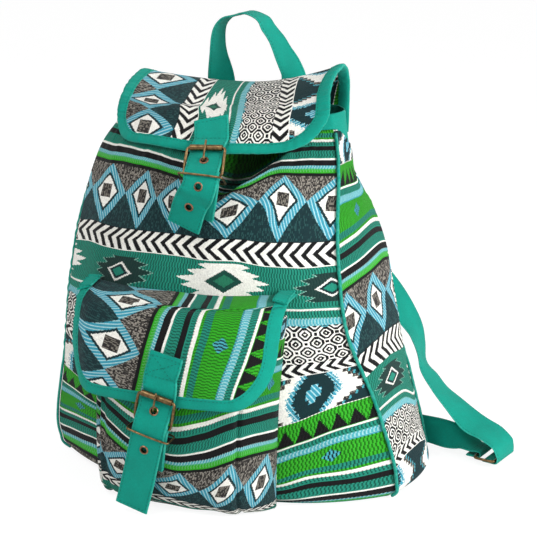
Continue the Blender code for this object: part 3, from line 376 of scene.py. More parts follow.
def lid_middle(x):
    """The lid's middle line at one place across it, as points."""
    back = back_y(x, BACK_PANEL_TOP)
    front = front_y(FLAP_X, FRONT_PANEL_TOP - 0.012)
    share = (x - FLAP_X) / (FLAP_WIDTH / 2)
    rise = LID_RIGHT_RISE if share > 0 else LID_LEFT_RISE
    lift = FLAP_RIGHT_LIFT if share > 0 else FLAP_LEFT_LIFT
    weight = min(abs(share), 1.1) ** 1.8
    line = []
    for i, (way, height) in enumerate(LID_LINE):
        forward = (i / (len(LID_LINE) - 1)) ** 2
        y = back + (front - back) * way + LID_END_SETBACK * weight * forward
        z = BODY_HEIGHT + height * FLAP_CREST / 0.0185 + lift * weight * rise[i]
        if i > 3:
            y, z = clear_of_mouth(x, y, z)
        elif i < 2:
            y += LID_HEM_STANDOFF * weight
        reach = -LID_LEFT_REACH[i] if share < 0 else 1.7 * forward
        line.append(np.array([x + FLAP_SPREAD * weight * reach, y, z]))
    return line


def lid_length():
    line = smooth_run(lid_middle(FLAP_X), 40)
    return sum(np.linalg.norm(b - a) for a, b in zip(line, line[1:]))


LID_LENGTH = lid_length()


def lid_surface(a, b):
    """Outer face of the lid, a across it from its middle and b along it from its back seam."""
    return curve_through(lid_middle(FLAP_X + a), b / LID_LENGTH)


# Front pocket: height, and depth as a share of the pocket's depth
POCKET_DEPTHS = (
    (0.0006, 0.06), (0.0012, 0.45), (0.0030, 0.80), (0.012, 1.03), (0.035, 1.14),
    (0.070, 1.12), (0.110, 1.02), (0.145, 0.88), (0.170, 0.72),
)
POCKET_FLOOR = 0.020
# Its plan from left to right: share of its half width, and of its depth
POCKET_PLAN = (
    (-1.00, 0.0), (-1.04, 0.30), (-1.04, 0.62), (-0.98, 0.88), (-0.84, 1.0), (-0.60, 1.05),
    (-0.30, 1.02), (0.0, 1.07), (0.25, 1.04), (0.48, 1.06), (0.66, 1.0), (0.80, 0.84),
    (0.91, 0.58), (0.98, 0.28), (1.00, 0.0),
)
# Side view of the pocket's flap from its root: share of the pocket's depth, and height,
# drawn for a flap of the length POCKET_FLAP_RUN
POCKET_FLAP_LINE = (
    (0.00, 0.0), (0.36, -0.0012), (0.72, -0.0040), (0.98, -0.0120), (1.10, -0.0300),
    (1.16, -0.0520), (1.18, -0.0740), (1.17, -0.0930),
)
POCKET_FLAP_RUN = 0.120


def pocket_point(plan_share, row_share):
    """Point of the pocket's outer face."""
    plan = curve_through(POCKET_PLAN, plan_share)
    z, scale = curve_through(POCKET_DEPTHS, row_share)
    z = max(z * POCKET_TOP / POCKET_DEPTHS[-1][0], FLAT_STEP)
    depth = POCKET_DEPTH * scale * max(plan[1], 0.0)
    straight = min(max(plan[0], -1.0), 1.0)
    spread = straight + (plan[0] - straight) * min(scale, 1.0)
    x = POCKET_X + spread * (POCKET_WIDTH / 2)
    return np.array([x, front_y(x, max(z, POCKET_FLOOR)) - LAYER_GAP - depth, z])


def pocket_flap_surface(a, b):
    """Outer face of the pocket's flap, a across it from its middle and b along it from its root."""
    scale, drop = curve_through(POCKET_FLAP_LINE, b / POCKET_FLAP_LENGTH)
    x = POCKET_FLAP_X + a
    z = POCKET_FLAP_ROOT + drop * POCKET_FLAP_LENGTH / POCKET_FLAP_RUN
    reach = abs(a) / (POCKET_FLAP_WIDTH / 2)
    side = 1 - 0.22 * smooth_step(0.72, 1.0, reach)
    depth = (POCKET_DEPTH * 1.06 + FABRIC + 2 * LAYER_GAP) * scale * side
    return np.array([x, front_y(x, z) - FABRIC - depth, z])


# Buckles

class BuckleFrame:
    """Place of a roller buckle: origin at its heel bar, up towards its roller."""

    def __init__(self, heel, across, up):
        self.heel = np.asarray(heel, float)
        self.up = unit(up)
        across = np.asarray(across, float)
        self.across = unit(across - self.up * np.dot(across, self.up))
        self.out = np.cross(self.across, self.up)

    def at(self, x, y, z):
        return self.heel + self.across * x + self.up * y + self.out * z


# Side view of the prong, from its curl round the heel bar to its tip
PRONG_LINE = (
    (0.0103, -0.0020), (0.0122, -0.0004), (0.0133, 0.0016), (0.0146, 0.0034),
    (0.0172, 0.0042), (0.0215, 0.0041), (0.0260, 0.0039), (0.0312, 0.0036),
)
PRONG_HEEL = 0.0055
# Start and turn of the prong's curl, in degrees
PRONG_CURL = (55, 215)
# Side view of the strap inside the buckle, from behind the roller to past the heel bar
STRAP_IN_BUCKLE = (
    (0.0300, -0.0044), (0.0240, -0.0042), (0.0205, -0.0029), (0.0178, -0.00156),
    (0.0082, 0.00216), (0.0042, 0.0038), (-0.0002, 0.0050),
)
HOLE_IN_BUCKLE = 3

# Each closure: start of its strap on the flap (x, distance from the free edge), end of it
# (x, y, z), slopes of its width, and place and lean of the buckle
LID_STRAP_START = ((-0.0022, 0.033), (-0.0002, 0.026), (0.0017, 0.019), (0.0037, 0.012))
LID_STRAP_END = (
    (-0.0036, -0.1104, 0.2675), (-0.0080, -0.1076, 0.2575), (-0.0125, -0.1040, 0.2475),
)
LID_STRAP_TILTS = (-0.15, -0.22, -0.27, -0.30)
LID_SECOND_HOLE = (-0.0008, -0.0116, 0.0034)
LID_BUCKLE_X = 0.0042
LID_HEEL_TILT = -0.12
LID_STRAP_LEAN = 0.10
LID_BUCKLE_STANDOFF = 0.0022
LID_STRAP_DROP = 0.30
# Each wire keeper: how far below the heel bar, its slope, and height of its front rail
LID_KEEPER = (0.0030, 0.10, 0.0082)
POCKET_KEEPER = (0.0085, 0.02, 0.0078)
LID_TAB_RUN = 0.0145
POCKET_TAB_RUN = 0.020
LID_TAB_END = (-0.0015, 0.258)
LID_TAB_ACROSS = (1.0, 0.0, -0.28)
POCKET_STRAP_START = ((-0.0045, 0.0375), (-0.0065, 0.0300), (-0.0092, 0.0225))
POCKET_STRAP_END = (
    (-0.0212, -0.1752, 0.0655), (-0.0295, -0.1725, 0.0345), (-0.0375, -0.1710, 0.0068),
)
POCKET_STRAP_TILTS = (-0.27, -0.27, -0.27)
POCKET_BUCKLE_X = -0.0120
POCKET_BUCKLE_RISE = 0.0105
POCKET_HEEL_TILT = -0.29
POCKET_STRAP_LEAN = -0.0080
POCKET_STRAP_TUCK = 0.0058
POCKET_TAB_END = (-0.0255, 0.045)
POCKET_TAB_ACROSS = (1.0, 0.0, -0.26)

# Height of a strap's middle over the face of a flap with a bound edge
STRAP_RISE = (BINDING_HEIGHT - FABRIC) / 2 + LAYER_GAP + STRAP_THICKNESS / 2

# Carrying loop: x, distance behind the back panel, height above the mouth (below it for
# the sewn feet), and turn of its width from left-right to front-back
HANDLE_LINE = (
    (-0.0400, 0.0015, -0.064, 0), (-0.0400, 0.0015, -0.039, 0), (-0.0410, 0.0048, -0.028, 0),
    (-0.0425, 0.0080, -0.010, 5), (-0.0440, 0.0095, 0.012, 30), (-0.0445, 0.0025, 0.038, 72),
    (-0.0409, -0.0040, 0.0633, 85), (-0.0324, -0.0060, 0.075, 88), (-0.0213, -0.0060, 0.0782, 90),
    (-0.0102, -0.0060, 0.0808, 90), (0.0028, -0.0060, 0.0762, 86), (0.0091, -0.0040, 0.0671, 80),
    (0.0169, -0.0020, 0.0558, 76), (0.0226, 0.0030, 0.0409, 70), (0.0275, 0.0110, 0.0259, 60),
    (0.0295, 0.0140, 0.010, 35), (0.0310, 0.0085, -0.010, 5), (0.0320, 0.0048, -0.028, 0),
    (0.0320, 0.0015, -0.039, 0), (0.0320, 0.0015, -0.064, 0),
)

# Edges of the right shoulder strap from where it leaves the back to its end
RIGHT_STRAP_NEAR = (
    (0.012, 0.0643, 0.268), (0.0135, 0.0678, 0.250), (0.022, 0.0745, 0.234),
    (0.050, 0.078, 0.203), (0.086, 0.084, 0.163), (0.120, 0.085, 0.135), (0.1399, 0.083, 0.1127),
    (0.1506, 0.078, 0.1010), (0.1601, 0.072, 0.0845), (0.1655, 0.066, 0.0727),
    (0.1762, 0.060, 0.0617), (0.1889, 0.054, 0.0500), (0.2092, 0.045, 0.0320),
    (0.2270, 0.039, 0.0271), (0.2400, 0.035, 0.0214), (0.2455, 0.034, 0.0130),
)
RIGHT_STRAP_FAR = (
    (0.050, 0.0616, 0.268), (0.0515, 0.0648, 0.250), (0.058, 0.078, 0.238), (0.076, 0.098, 0.222),
    (0.100, 0.112, 0.184), (0.126, 0.119, 0.149), (0.1456, 0.120, 0.1173),
    (0.1524, 0.116, 0.0950), (0.1557, 0.109, 0.0770), (0.1688, 0.103, 0.0658),
    (0.1817, 0.097, 0.0547), (0.1997, 0.090, 0.0458), (0.2226, 0.080, 0.0347),
    (0.2422, 0.074, 0.0282), (0.2530, 0.071, 0.0195), (0.2545, 0.071, 0.0125),
)
# Middle line of the left shoulder strap: x, distance behind the back panel, height,
# and turn of its width
LEFT_STRAP_LINE = (
    (-0.031, 0.0015, 0.268, 180), (-0.032, 0.0020, 0.250, 180), (-0.040, 0.010, 0.228, 178),
    (-0.056, 0.032, 0.190, 172), (-0.074, 0.055, 0.145, 165), (-0.088, 0.067, 0.105, 158),
    (-0.096, 0.070, 0.070, 152), (-0.099, 0.066, 0.040, 146), (-0.1000, 0.0560, 0.0240, 140),
    (-0.1019, 0.0497, 0.0138, 139),
)

# Run of the lower straps from their adjusters to the back of the bag, with the way
# their width points
RIGHT_LOWER_STRAP = (
    ((0.2070, 0.0640, 0.0145), (0.05, 0.80, 0.45)),
    ((0.1900, 0.0665, 0.0165), (0.05, 0.50, 0.85)),
    ((0.1740, 0.0695, 0.0175), (0.05, 0.15, 1.00)),
    ((0.1600, 0.0685, 0.0190), (0.0, 0.05, 1.00)),
    ((0.1460, 0.0650, 0.0200), (0.0, 0.0, 1.00)),
)
LEFT_LOWER_STRAP = (
    ((-0.1290, 0.0810, 0.0130), (-0.40, 0.40, 0.80)),
    ((-0.1380, 0.0720, 0.0170), (-0.20, 0.20, 0.95)),
    ((-0.1470, 0.0665, 0.0190), (0.0, 0.0, 1.0)),
)
# Outer bar of each adjuster, and the way from it to the inner bar
RIGHT_BAR = (0.2475, 0.0532, 0.0080)
RIGHT_BAR_WAY = (-1.0, 0.24, 0.0)
LEFT_BAR = (-0.105, 0.110, 0.0080)
LEFT_BAR_WAY = (-0.66, -0.75, 0.0)


def strap_from_edges(near, far, count):
    """Centre line and width direction of a strap given by its two edges."""
    near_run = smooth_run(near, count)
    far_run = smooth_run(far, count)
    centres = [(a + b) / 2 for a, b in zip(near_run, far_run)]
    across = [b - a for a, b in zip(near_run, far_run)]
    return centres, across


def strap_behind_back(line, count, base=0.0):
    """Centre line and width direction of a strap told by its distance behind the bag."""
    centres = []
    across = []
    for x, behind, z, turn in smooth_run(line, count):
        z = base + z
        low = min(z, BACK_PANEL_TOP)
        centres.append(np.array([x, back_y(x, low) + behind, z]))
        turn = math.radians(turn)
        lie = back_slope(x, low) * math.cos(turn)
        across.append(np.array([math.cos(turn), math.sin(turn) + lie, 0.0]))
    return centres, across


# Pattern coordinates measured on the cloth: millimetres down the woven repeat (DOWN) and
# along its bands (ALONG), on even grids over each piece's own two directions
DOWN = {
    "front": (
        (396, 354, 299, 250, 215, 182, 148, 113, 84, 54, 25, -14, -61),
        (397, 362, 309, 246, 205, 175, 148, 120, 91, 61, 29, -11, -59),
        (389, 364, 305, 230, 192, 166, 144, 120, 91, 61, 32, -8, -59),
        (382, 342, 288, 231, 191, 163, 141, 118, 92, 62, 32, -10, -64),
        (371, 324, 276, 230, 193, 165, 141, 119, 93, 62, 30, -16, -73),
        (362, 312, 266, 227, 194, 167, 143, 119, 92, 61, 22, -29, -88),
        (358, 304, 259, 223, 194, 169, 144, 119, 90, 57, 7, -59, -110),
        (361, 301, 257, 225, 198, 172, 146, 120, 90, 59, 20, -53, -109),
        (370, 322, 273, 234, 206, 175, 146, 116, 85, 58, 36, -18, -87),
        (376, 328, 291, 248, 214, 174, 144, 110, 82, 56, 29, -17, -76),
        (376, 334, 297, 257, 217, 177, 140, 108, 80, 52, 23, -23, -77),
    ),
    "right": (
        (619, 576, 537, 488, 448, 407, 363, 318, 285, 243, 199),
        (624, 584, 540, 494, 455, 415, 372, 326, 287, 243, 198),
        (623, 583, 537, 493, 458, 422, 379, 333, 287, 241, 196),
        (615, 571, 519, 486, 457, 425, 383, 333, 289, 241, 195),
        (605, 558, 512, 482, 452, 420, 376, 324, 284, 239, 193),
    ),
    "lid": (
        (21, 14, 6, 2, -1, -6, -9),
        (52, 44, 35, 29, 26, 21, 19),
        (84, 75, 64, 56, 52, 47, 46),
        (117, 109, 98, 85, 80, 72, 76),
        (149, 144, 138, 125, 114, 102, 107),
        (181, 176, 172, 160, 147, 141, 140),
        (210, 205, 198, 187, 178, 179, 177),
        (237, 231, 222, 211, 206, 206, 204),
        (264, 257, 248, 238, 233, 232, 230),
    ),
    "pflap": (
        (66, 66, 66, 66, 66, 66, 66),
        (57, 57, 56, 53, 49, 45, 41),
        (22, 26, 27, 26, 20, 13, 6),
        (-19, -14, -11, -16, -23, -29, -35),
        (-66, -61, -58, -59, -64, -69, -75),
        (-105, -100, -95, -95, -101, -110, -117),
        (-145, -142, -140, -142, -148, -156, -163),
    ),
    "pocket": (
        (662, 617, 572, 526, 478, 424, 360, 299, 245),
        (651, 605, 559, 514, 466, 411, 345, 285, 233),
        (639, 592, 546, 500, 451, 397, 327, 271, 223),
        (627, 580, 533, 486, 432, 373, 309, 260, 214),
        (616, 567, 520, 473, 412, 346, 296, 252, 208),
        (605, 556, 507, 461, 397, 338, 293, 249, 203),
        (595, 545, 496, 451, 401, 347, 298, 249, 201),
        (587, 537, 487, 445, 410, 361, 307, 252, 200),
        (580, 530, 483, 445, 415, 367, 310, 253, 200),
        (573, 525, 481, 445, 415, 366, 311, 254, 199),
        (568, 522, 479, 444, 410, 362, 308, 253, 198),
    ),
}
ALONG = {
    "front": (
        (-49, -52, -55, -58, -61, -65, -70, -76, -82, -86, -88, -88, -89),
        (-22, -24, -26, -29, -32, -36, -41, -48, -56, -62, -61, -61, -61),
        (6, 3, 1, -1, -4, -6, -10, -16, -27, -36, -37, -35, -34),
        (32, 30, 27, 25, 23, 20, 17, 12, 2, -8, -10, -7, -4),
        (58, 56, 53, 50, 47, 44, 40, 35, 29, 27, 31, 30, 29),
        (84, 81, 78, 74, 71, 67, 63, 59, 57, 58, 64, 62, 59),
        (110, 107, 103, 99, 95, 91, 87, 84, 83, 84, 85, 85, 85),
        (137, 133, 129, 125, 121, 117, 113, 110, 110, 109, 107, 108, 109),
        (164, 160, 156, 153, 149, 146, 143, 141, 140, 138, 136, 136, 136),
        (192, 188, 185, 182, 178, 176, 174, 173, 174, 172, 169, 167, 166),
        (220, 217, 214, 211, 209, 207, 206, 206, 207, 205, 201, 198, 196),
    ),
    "right": (
        (185, 177, 169, 157, 146, 140, 138, 136, 133, 129, 125),
        (213, 205, 198, 187, 174, 171, 170, 167, 163, 159, 154),
        (239, 231, 223, 211, 198, 201, 201, 197, 193, 188, 182),
        (264, 256, 246, 235, 226, 226, 227, 225, 220, 215, 210),
        (289, 281, 271, 261, 254, 250, 252, 250, 247, 242, 237),
    ),
    "lid": (
        (243, 207, 171, 134, 98, 64, 30),
        (244, 208, 172, 135, 97, 64, 31),
        (245, 209, 172, 135, 98, 65, 32),
        (245, 209, 173, 136, 100, 66, 32),
        (245, 209, 173, 137, 101, 67, 33),
        (246, 210, 174, 138, 103, 68, 33),
        (246, 211, 175, 139, 104, 69, 34),
        (247, 211, 176, 140, 105, 70, 35),
        (248, 212, 176, 141, 106, 71, 36),
    ),
    "pflap": (
        (-76, -53, -31, -8, 17, 41, 66),
        (-82, -60, -39, -16, 8, 34, 60),
        (-88, -66, -45, -24, 1, 27, 53),
        (-95, -73, -51, -28, -4, 21, 46),
        (-101, -78, -56, -32, -9, 15, 40),
        (-107, -84, -61, -37, -14, 10, 34),
        (-113, -90, -66, -43, -19, 5, 28),
    ),
    "pocket": (
        (-95, -109, -122, -136, -149, -163, -177, -190, -204),
        (-66, -80, -94, -107, -121, -134, -148, -162, -175),
        (-38, -51, -65, -79, -92, -106, -119, -133, -146),
        (-9, -23, -36, -50, -63, -77, -91, -104, -118),
        (20, 6, -8, -21, -35, -48, -62, -75, -89),
        (48, 35, 21, 8, -6, -20, -33, -47, -60),
        (77, 63, 50, 36, 23, 9, -5, -18, -32),
        (106, 92, 78, 65, 51, 38, 24, 11, -3),
        (134, 121, 107, 93, 80, 66, 53, 39, 26),
        (163, 149, 136, 122, 109, 95, 82, 68, 54),
        (192, 178, 164, 151, 137, 124, 110, 97, 83),
    ),
}


# Materials

def colour(red, green, blue):
    """Linear colour from its 0 to 255 display values."""
    out = []
    for value in (red, green, blue):
        value /= 255
        out.append(value / 12.92 if value <= 0.04045 else ((value + 0.055) / 1.055) ** 2.4)
    return (*out, 1.0)


class Socket:
    """Number in a node tree, with plain arithmetic that adds the math nodes."""

    def __init__(self, tree, socket):
        self.tree = tree
        self.socket = socket

    def run(self, operation, *others):
        node = self.tree.nodes.new("ShaderNodeMath")
        node.operation = operation
        for slot, value in zip(node.inputs, (self, *others)):
            if isinstance(value, Socket):
                self.tree.links.new(value.socket, slot)
            else:
                slot.default_value = value
        return Socket(self.tree, node.outputs[0])

    def centred(self, pitch):
        """Signed distance to the nearest multiple of a pitch."""
        return (self + pitch / 2) % pitch - pitch / 2

    def clipped(self):
        return self.larger(0.0).smaller(1.0)

    def between(self, low, high):
        return (self > low) * (self < high)

    def within(self, *ranges):
        """1 where the number lies in any of the ranges."""
        inside = self.between(*ranges[0])
        for limits in ranges[1:]:
            inside = inside.larger(self.between(*limits))
        return inside


def socket_method(operation):
    return lambda self, *others: self.run(operation, *others)


for method, operation in (
    ("__add__", "ADD"), ("__sub__", "SUBTRACT"), ("__mul__", "MULTIPLY"), ("__truediv__", "DIVIDE"),
    ("__lt__", "LESS_THAN"), ("__gt__", "GREATER_THAN"), ("__mod__", "FLOORED_MODULO"),
    ("abs", "ABSOLUTE"), ("floor", "FLOOR"), ("sin", "SINE"), ("larger", "MAXIMUM"),
    ("smaller", "MINIMUM"),
):
    setattr(Socket, method, socket_method(operation))


class Paint:
    """Node tree of one material, with the few things the cloths and metal need."""

    def __init__(self, name):
        self.material = bpy.data.materials.new(name)
        self.material.use_nodes = True
        self.tree = self.material.node_tree
        self.shader = self.tree.nodes["Principled BSDF"]

    def node(self, kind, **settings):
        node = self.tree.nodes.new(kind)
        for key, value in settings.items():
            setattr(node, key, value)
        return node

    def link(self, value, slot):
        if isinstance(value, Socket):
            self.tree.links.new(value.socket, slot)
        else:
            slot.default_value = value

    def attribute(self, name):
        node = self.node("ShaderNodeAttribute", attribute_name=name)
        parts = self.node("ShaderNodeSeparateXYZ")
        self.tree.links.new(node.outputs["Vector"], parts.inputs[0])
        return [Socket(self.tree, socket) for socket in parts.outputs]

    def place(self):
        node = self.node("ShaderNodeTexCoord")
        parts = self.node("ShaderNodeSeparateXYZ")
        self.tree.links.new(node.outputs["Object"], parts.inputs[0])
        return [Socket(self.tree, socket) * 1000.0 for socket in parts.outputs]

    def vector(self, x, y, z=0.0):
        node = self.node("ShaderNodeCombineXYZ")
        for value, slot in zip((x, y, z), node.inputs):
            self.link(value, slot)
        return Socket(self.tree, node.outputs[0])

    def noise(self, vector, scale, detail, roughness=0.5):
        node = self.node("ShaderNodeTexNoise")
        self.link(vector, node.inputs["Vector"])
        node.inputs["Scale"].default_value = scale
        node.inputs["Detail"].default_value = detail
        node.inputs["Roughness"].default_value = roughness
        return Socket(self.tree, node.outputs[0])

    def speckle(self, vector):
        node = self.node("ShaderNodeTexWhiteNoise", noise_dimensions="3D")
        self.link(vector, node.inputs["Vector"])
        return Socket(self.tree, node.outputs["Value"])

    def mix(self, share, first, second, blend="MIX"):
        node = self.node("ShaderNodeMix", data_type="RGBA", blend_type=blend)
        self.link(share, node.inputs[0])
        self.link(first, node.inputs[6])
        self.link(second, node.inputs[7])
        return Socket(self.tree, node.outputs[2])

    def bands(self, share, stops):
        node = self.node("ShaderNodeValToRGB")
        node.color_ramp.interpolation = "CONSTANT"
        ramp = node.color_ramp.elements
        while len(ramp) < len(stops):
            ramp.new(1.0)
        for element, (start, tone) in zip(ramp, stops):
            element.position = start
            element.color = tone
        self.link(share, node.inputs[0])
        return Socket(self.tree, node.outputs[0])

    def scaled(self, tone, factor):
        """Colour times a number."""
        grey = self.node("ShaderNodeCombineColor")
        for slot in grey.inputs:
            self.link(factor, slot)
        return self.mix(1.0, tone, Socket(self.tree, grey.outputs[0]), "MULTIPLY")

    def steps(self, tone, mask, measure, limits):
        """Lay each colour in turn where a figure's measure is under its limit."""
        for limit, dye in limits:
            tone = self.mix(mask * (measure < limit), tone, dye)
        return tone

    def bump(self, height, distance, strength):
        node = self.node("ShaderNodeBump")
        node.inputs["Distance"].default_value = distance
        node.inputs["Strength"].default_value = strength
        self.link(height, node.inputs["Height"])
        self.tree.links.new(node.outputs["Normal"], self.shader.inputs["Normal"])


BLACK = colour(14, 14, 16)
WHITE = colour(250, 248, 240)
TEAL = colour(32, 140, 118)
DARK_TEAL = colour(17, 47, 51)
BLUE = colour(74, 170, 184)
GREEN = colour(50, 170, 34)
GREY = colour(74, 70, 66)
REPEAT = 385.0
THREAD = 0.8
RIB = 2.7
# Where each band of the woven repeat starts, in millimetres, and its ground colour
BAND_STARTS = (
    (0.0, GREY), (34.0, DARK_TEAL), (68.0, WHITE), (90.0, TEAL), (130.0, WHITE), (133.0, TEAL),
    (141.0, BLUE), (149.0, WHITE), (187.0, WHITE), (200.0, WHITE), (240.0, GREEN), (267.0, WHITE),
    (270.0, TEAL), (278.0, BLUE), (286.0, GREEN), (312.0, TEAL), (319.0, GREEN), (323.0, WHITE),
    (327.0, TEAL), (334.0, BLACK), (342.0, TEAL), (355.0, WHITE), (359.0, BLACK), (368.0, BLUE),
    (373.0, GREEN), (379.0, BLACK),
)


def woven_cloth():
    """Band-woven jacquard: bands and figures from the cloth's own two coordinates, painted shade
    from a third.
    """
    paint = Paint("jacquard_weave")
    along, down, hollow_painted_shade = paint.attribute("weave_and_painted_shade")
    raw = paint.vector(along, down)
    drift = paint.noise(raw, 0.045, 1.0) - 0.5
    lean = paint.noise(paint.vector(down, along, 7.0), 0.05, 1.0) - 0.5
    s_true = along + drift * 1.6
    t_true = down + lean * 1.3
    s = (s_true / THREAD).floor() * THREAD + THREAD / 2
    t_all = (t_true / THREAD).floor() * THREAD + THREAD / 2
    t = t_all % REPEAT
    grain = paint.speckle(paint.vector(s, t_all))
    dash = paint.speckle(paint.vector((s_true / 0.85).floor(), (t_true / 2.1).floor(), 9.0))

    tone = paint.bands(t / REPEAT, [(start / REPEAT, ground) for start, ground in BAND_STARTS])

    # ribs of dark ends in the plain coloured bands
    brick = ((t_true / 4.6).floor() % 2.0) * 0.3
    rib = (s_true / RIB + brick) % 1.0
    ribbed = t.within((90.0, 130.0), (133.0, 141.0), (240.0, 267.0), (270.0, 278.0),
                      (286.0, 323.0), (327.0, 334.0), (342.0, 355.0))
    tone = paint.mix(ribbed * (rib < 0.42) * 0.80, tone, paint.scaled(tone, 0.24))
    blue_band = t.within((141.0, 149.0), (278.0, 286.0), (368.0, 379.0))
    tone = paint.mix(blue_band * (rib < 0.42) * 0.60, tone, colour(190, 225, 220))
    tone = paint.mix(t.between(373.0, 379.0) * 0.75, tone, GREEN)

    # diamonds in a lattice, over grey speckle above and dark teal below
    upper = t < 34.0
    tone = paint.mix(upper * (dash < 0.36), tone, colour(40, 38, 37))
    tone = paint.mix(upper * (dash > 0.66), tone, colour(150, 144, 134))
    tone = paint.mix(t.between(34.0, 68.0) * (dash > 0.76) * 0.45, tone, colour(52, 100, 98))
    spot = s.centred(50.0)
    metric = spot.abs() / 25.0 + (t - 34.0).abs() / 34.0
    hatch = (s_true * 0.30 - t_true * 0.14) % 1.0
    blue = paint.mix((hatch < 0.32) * 0.80, colour(58, 156, 180), colour(190, 226, 226))
    diamonds = t < 68.0
    tone = paint.steps(tone, diamonds, metric, ((1.0, blue), (0.66, DARK_TEAL), (0.54, WHITE)))
    core = (spot.abs() < 6.4) * ((t - 34.0).abs() < 7.6)
    salt = paint.mix(dash < 0.62, colour(128, 122, 112), colour(46, 43, 42))
    tone = paint.mix(diamonds * core, tone, salt)

    # chevrons that point to the left, and the smaller ones under the ring lattice
    arrow = ((s - (t - 79.0).abs() * 1.05) / 11.6) % 1.0
    tone = paint.mix(t.between(68.0, 90.0) * (arrow < 0.47), tone, BLACK)
    small = ((s - (t - 193.5).abs() * 1.05) / 9.2) % 1.0
    tone = paint.mix(t.between(187.5, 200.0) * (small < 0.50), tone, BLACK)

    # dark and white medallions on the ribbed teal
    near = (t - 110.0).abs()
    teeth = ((t - 110.0) / 6.9 + 0.25) % 1.0
    spike = (teeth - 0.5).abs() * 2.0
    dark_at = s.centred(200.0).abs()
    reach = (spike * 11.0 + 24.0) - near * 1.05
    medallion = t.between(96.0, 124.0)
    tone = paint.mix(medallion * (dark_at < reach + 1.6) * 0.8, tone, colour(150, 196, 180))
    tone = paint.mix(medallion * (dark_at < reach), tone, colour(26, 56, 52))
    inner = dark_at / 15.0 + near / 9.5
    tone = paint.steps(tone, medallion, inner, ((1.0, WHITE), (0.78, DARK_TEAL), (0.50, TEAL)))
    pale_at = (s - 100.0).centred(200.0).abs()
    reach = (spike * 13.0 + 33.0) - near * 1.35
    medallion = t.between(93.0, 127.0)
    tone = paint.mix(medallion * (pale_at < reach), tone, WHITE)
    inner = pale_at / 17.5 + near / 11.0
    tone = paint.steps(tone, medallion, inner,
                       ((1.0, colour(22, 72, 62)), (0.55, colour(38, 122, 92))))

    # lattice of linked rings
    one = ((s + t) / 17.4).centred(1.0).abs()
    two = ((s - t) / 17.4).centred(1.0).abs()
    ring = one.larger(two).larger((one + two) * 0.63)
    rings = t.between(149.0, 187.0)
    tone = paint.mix(rings * (ring > 0.525), tone, BLACK)
    tone = paint.steps(tone, rings, ring,
                       ((0.445, BLACK), (0.29, WHITE), (0.195, BLACK), (0.06, WHITE)))

    # cloud-edged figures on white
    figure = (s + (t - 221.0) * 0.3 - 70.0).centred(100.0).abs()
    height = ((t - 221.0) / 4.0).floor() * 4.0 + 2.0
    rise = height.abs()
    ragged = (grain - 0.5) * 3.0
    ikat = t.between(201.0, 240.0)
    body = figure + rise * 0.55 + ragged
    tone = paint.steps(tone, ikat, body, ((23.0, blue), (18.0, DARK_TEAL)))
    tone = paint.mix(ikat * (figure + rise * 0.8 < 7.5), tone, blue)
    zig = (figure - 50.0).abs() - rise * 1.05
    tone = paint.steps(tone, ikat, zig, ((10.5, salt), (6.0, BLUE), (4.5, DARK_TEAL)))

    # upright triangles on green, and the small figures of the wide green band
    tooth = (s / 13.2).centred(1.0).abs() * 2.0
    tone = paint.mix(t.between(248.0, 267.0) * (tooth < (t - 247.0) / 20.5), tone, BLACK)
    leaf = (s - 77.0).centred(100.0).abs() / 7.0 + (t - 300.0).abs() / 8.0
    tone = paint.mix(t.between(286.0, 312.0) * (leaf < 1.0), tone,
                     paint.mix(rib < 0.45, BLUE, DARK_TEAL))

    # every thread takes its dye a little differently, and each thread is lighter along its middle
    slub = paint.noise(paint.vector(s_true * 0.9, t_true * 0.25), 0.8, 2.0)
    patch = paint.noise(paint.vector(s_true, t_true, 3.0), 0.02, 2.0)
    shade = (slub - 0.5) * 0.36 + (patch - 0.5) * 0.22 + (grain - 0.5) * 0.22 + 1.0
    tone = paint.scaled(tone, shade)
    end = ((s_true / THREAD * math.pi).sin()).abs()
    pick = ((t_true / (THREAD * 1.4) * math.pi).sin()).abs()
    tone = paint.scaled(tone, end * pick * 0.22 + 0.86)
    # painted shade: the cloth in the sunken fold right of the lid's buckle is darkened by up to 88
    # percent
    tone = paint.scaled(tone, hollow_painted_shade * -0.88 + 1.0)
    paint.link(tone, paint.shader.inputs["Base Color"])

    rough = grain * 0.12 + 0.80
    paint.link(rough, paint.shader.inputs["Roughness"])
    paint.shader.inputs["Specular IOR Level"].default_value = 0.15
    paint.shader.inputs["Sheen Weight"].default_value = 0.04
    paint.shader.inputs["Sheen Roughness"].default_value = 0.5
    raised = ribbed * ((rib * math.pi).sin()) * 0.7 + end * pick * 0.6 + slub * 0.5
    paint.bump(raised, 0.0007, 0.9)
    return paint.material


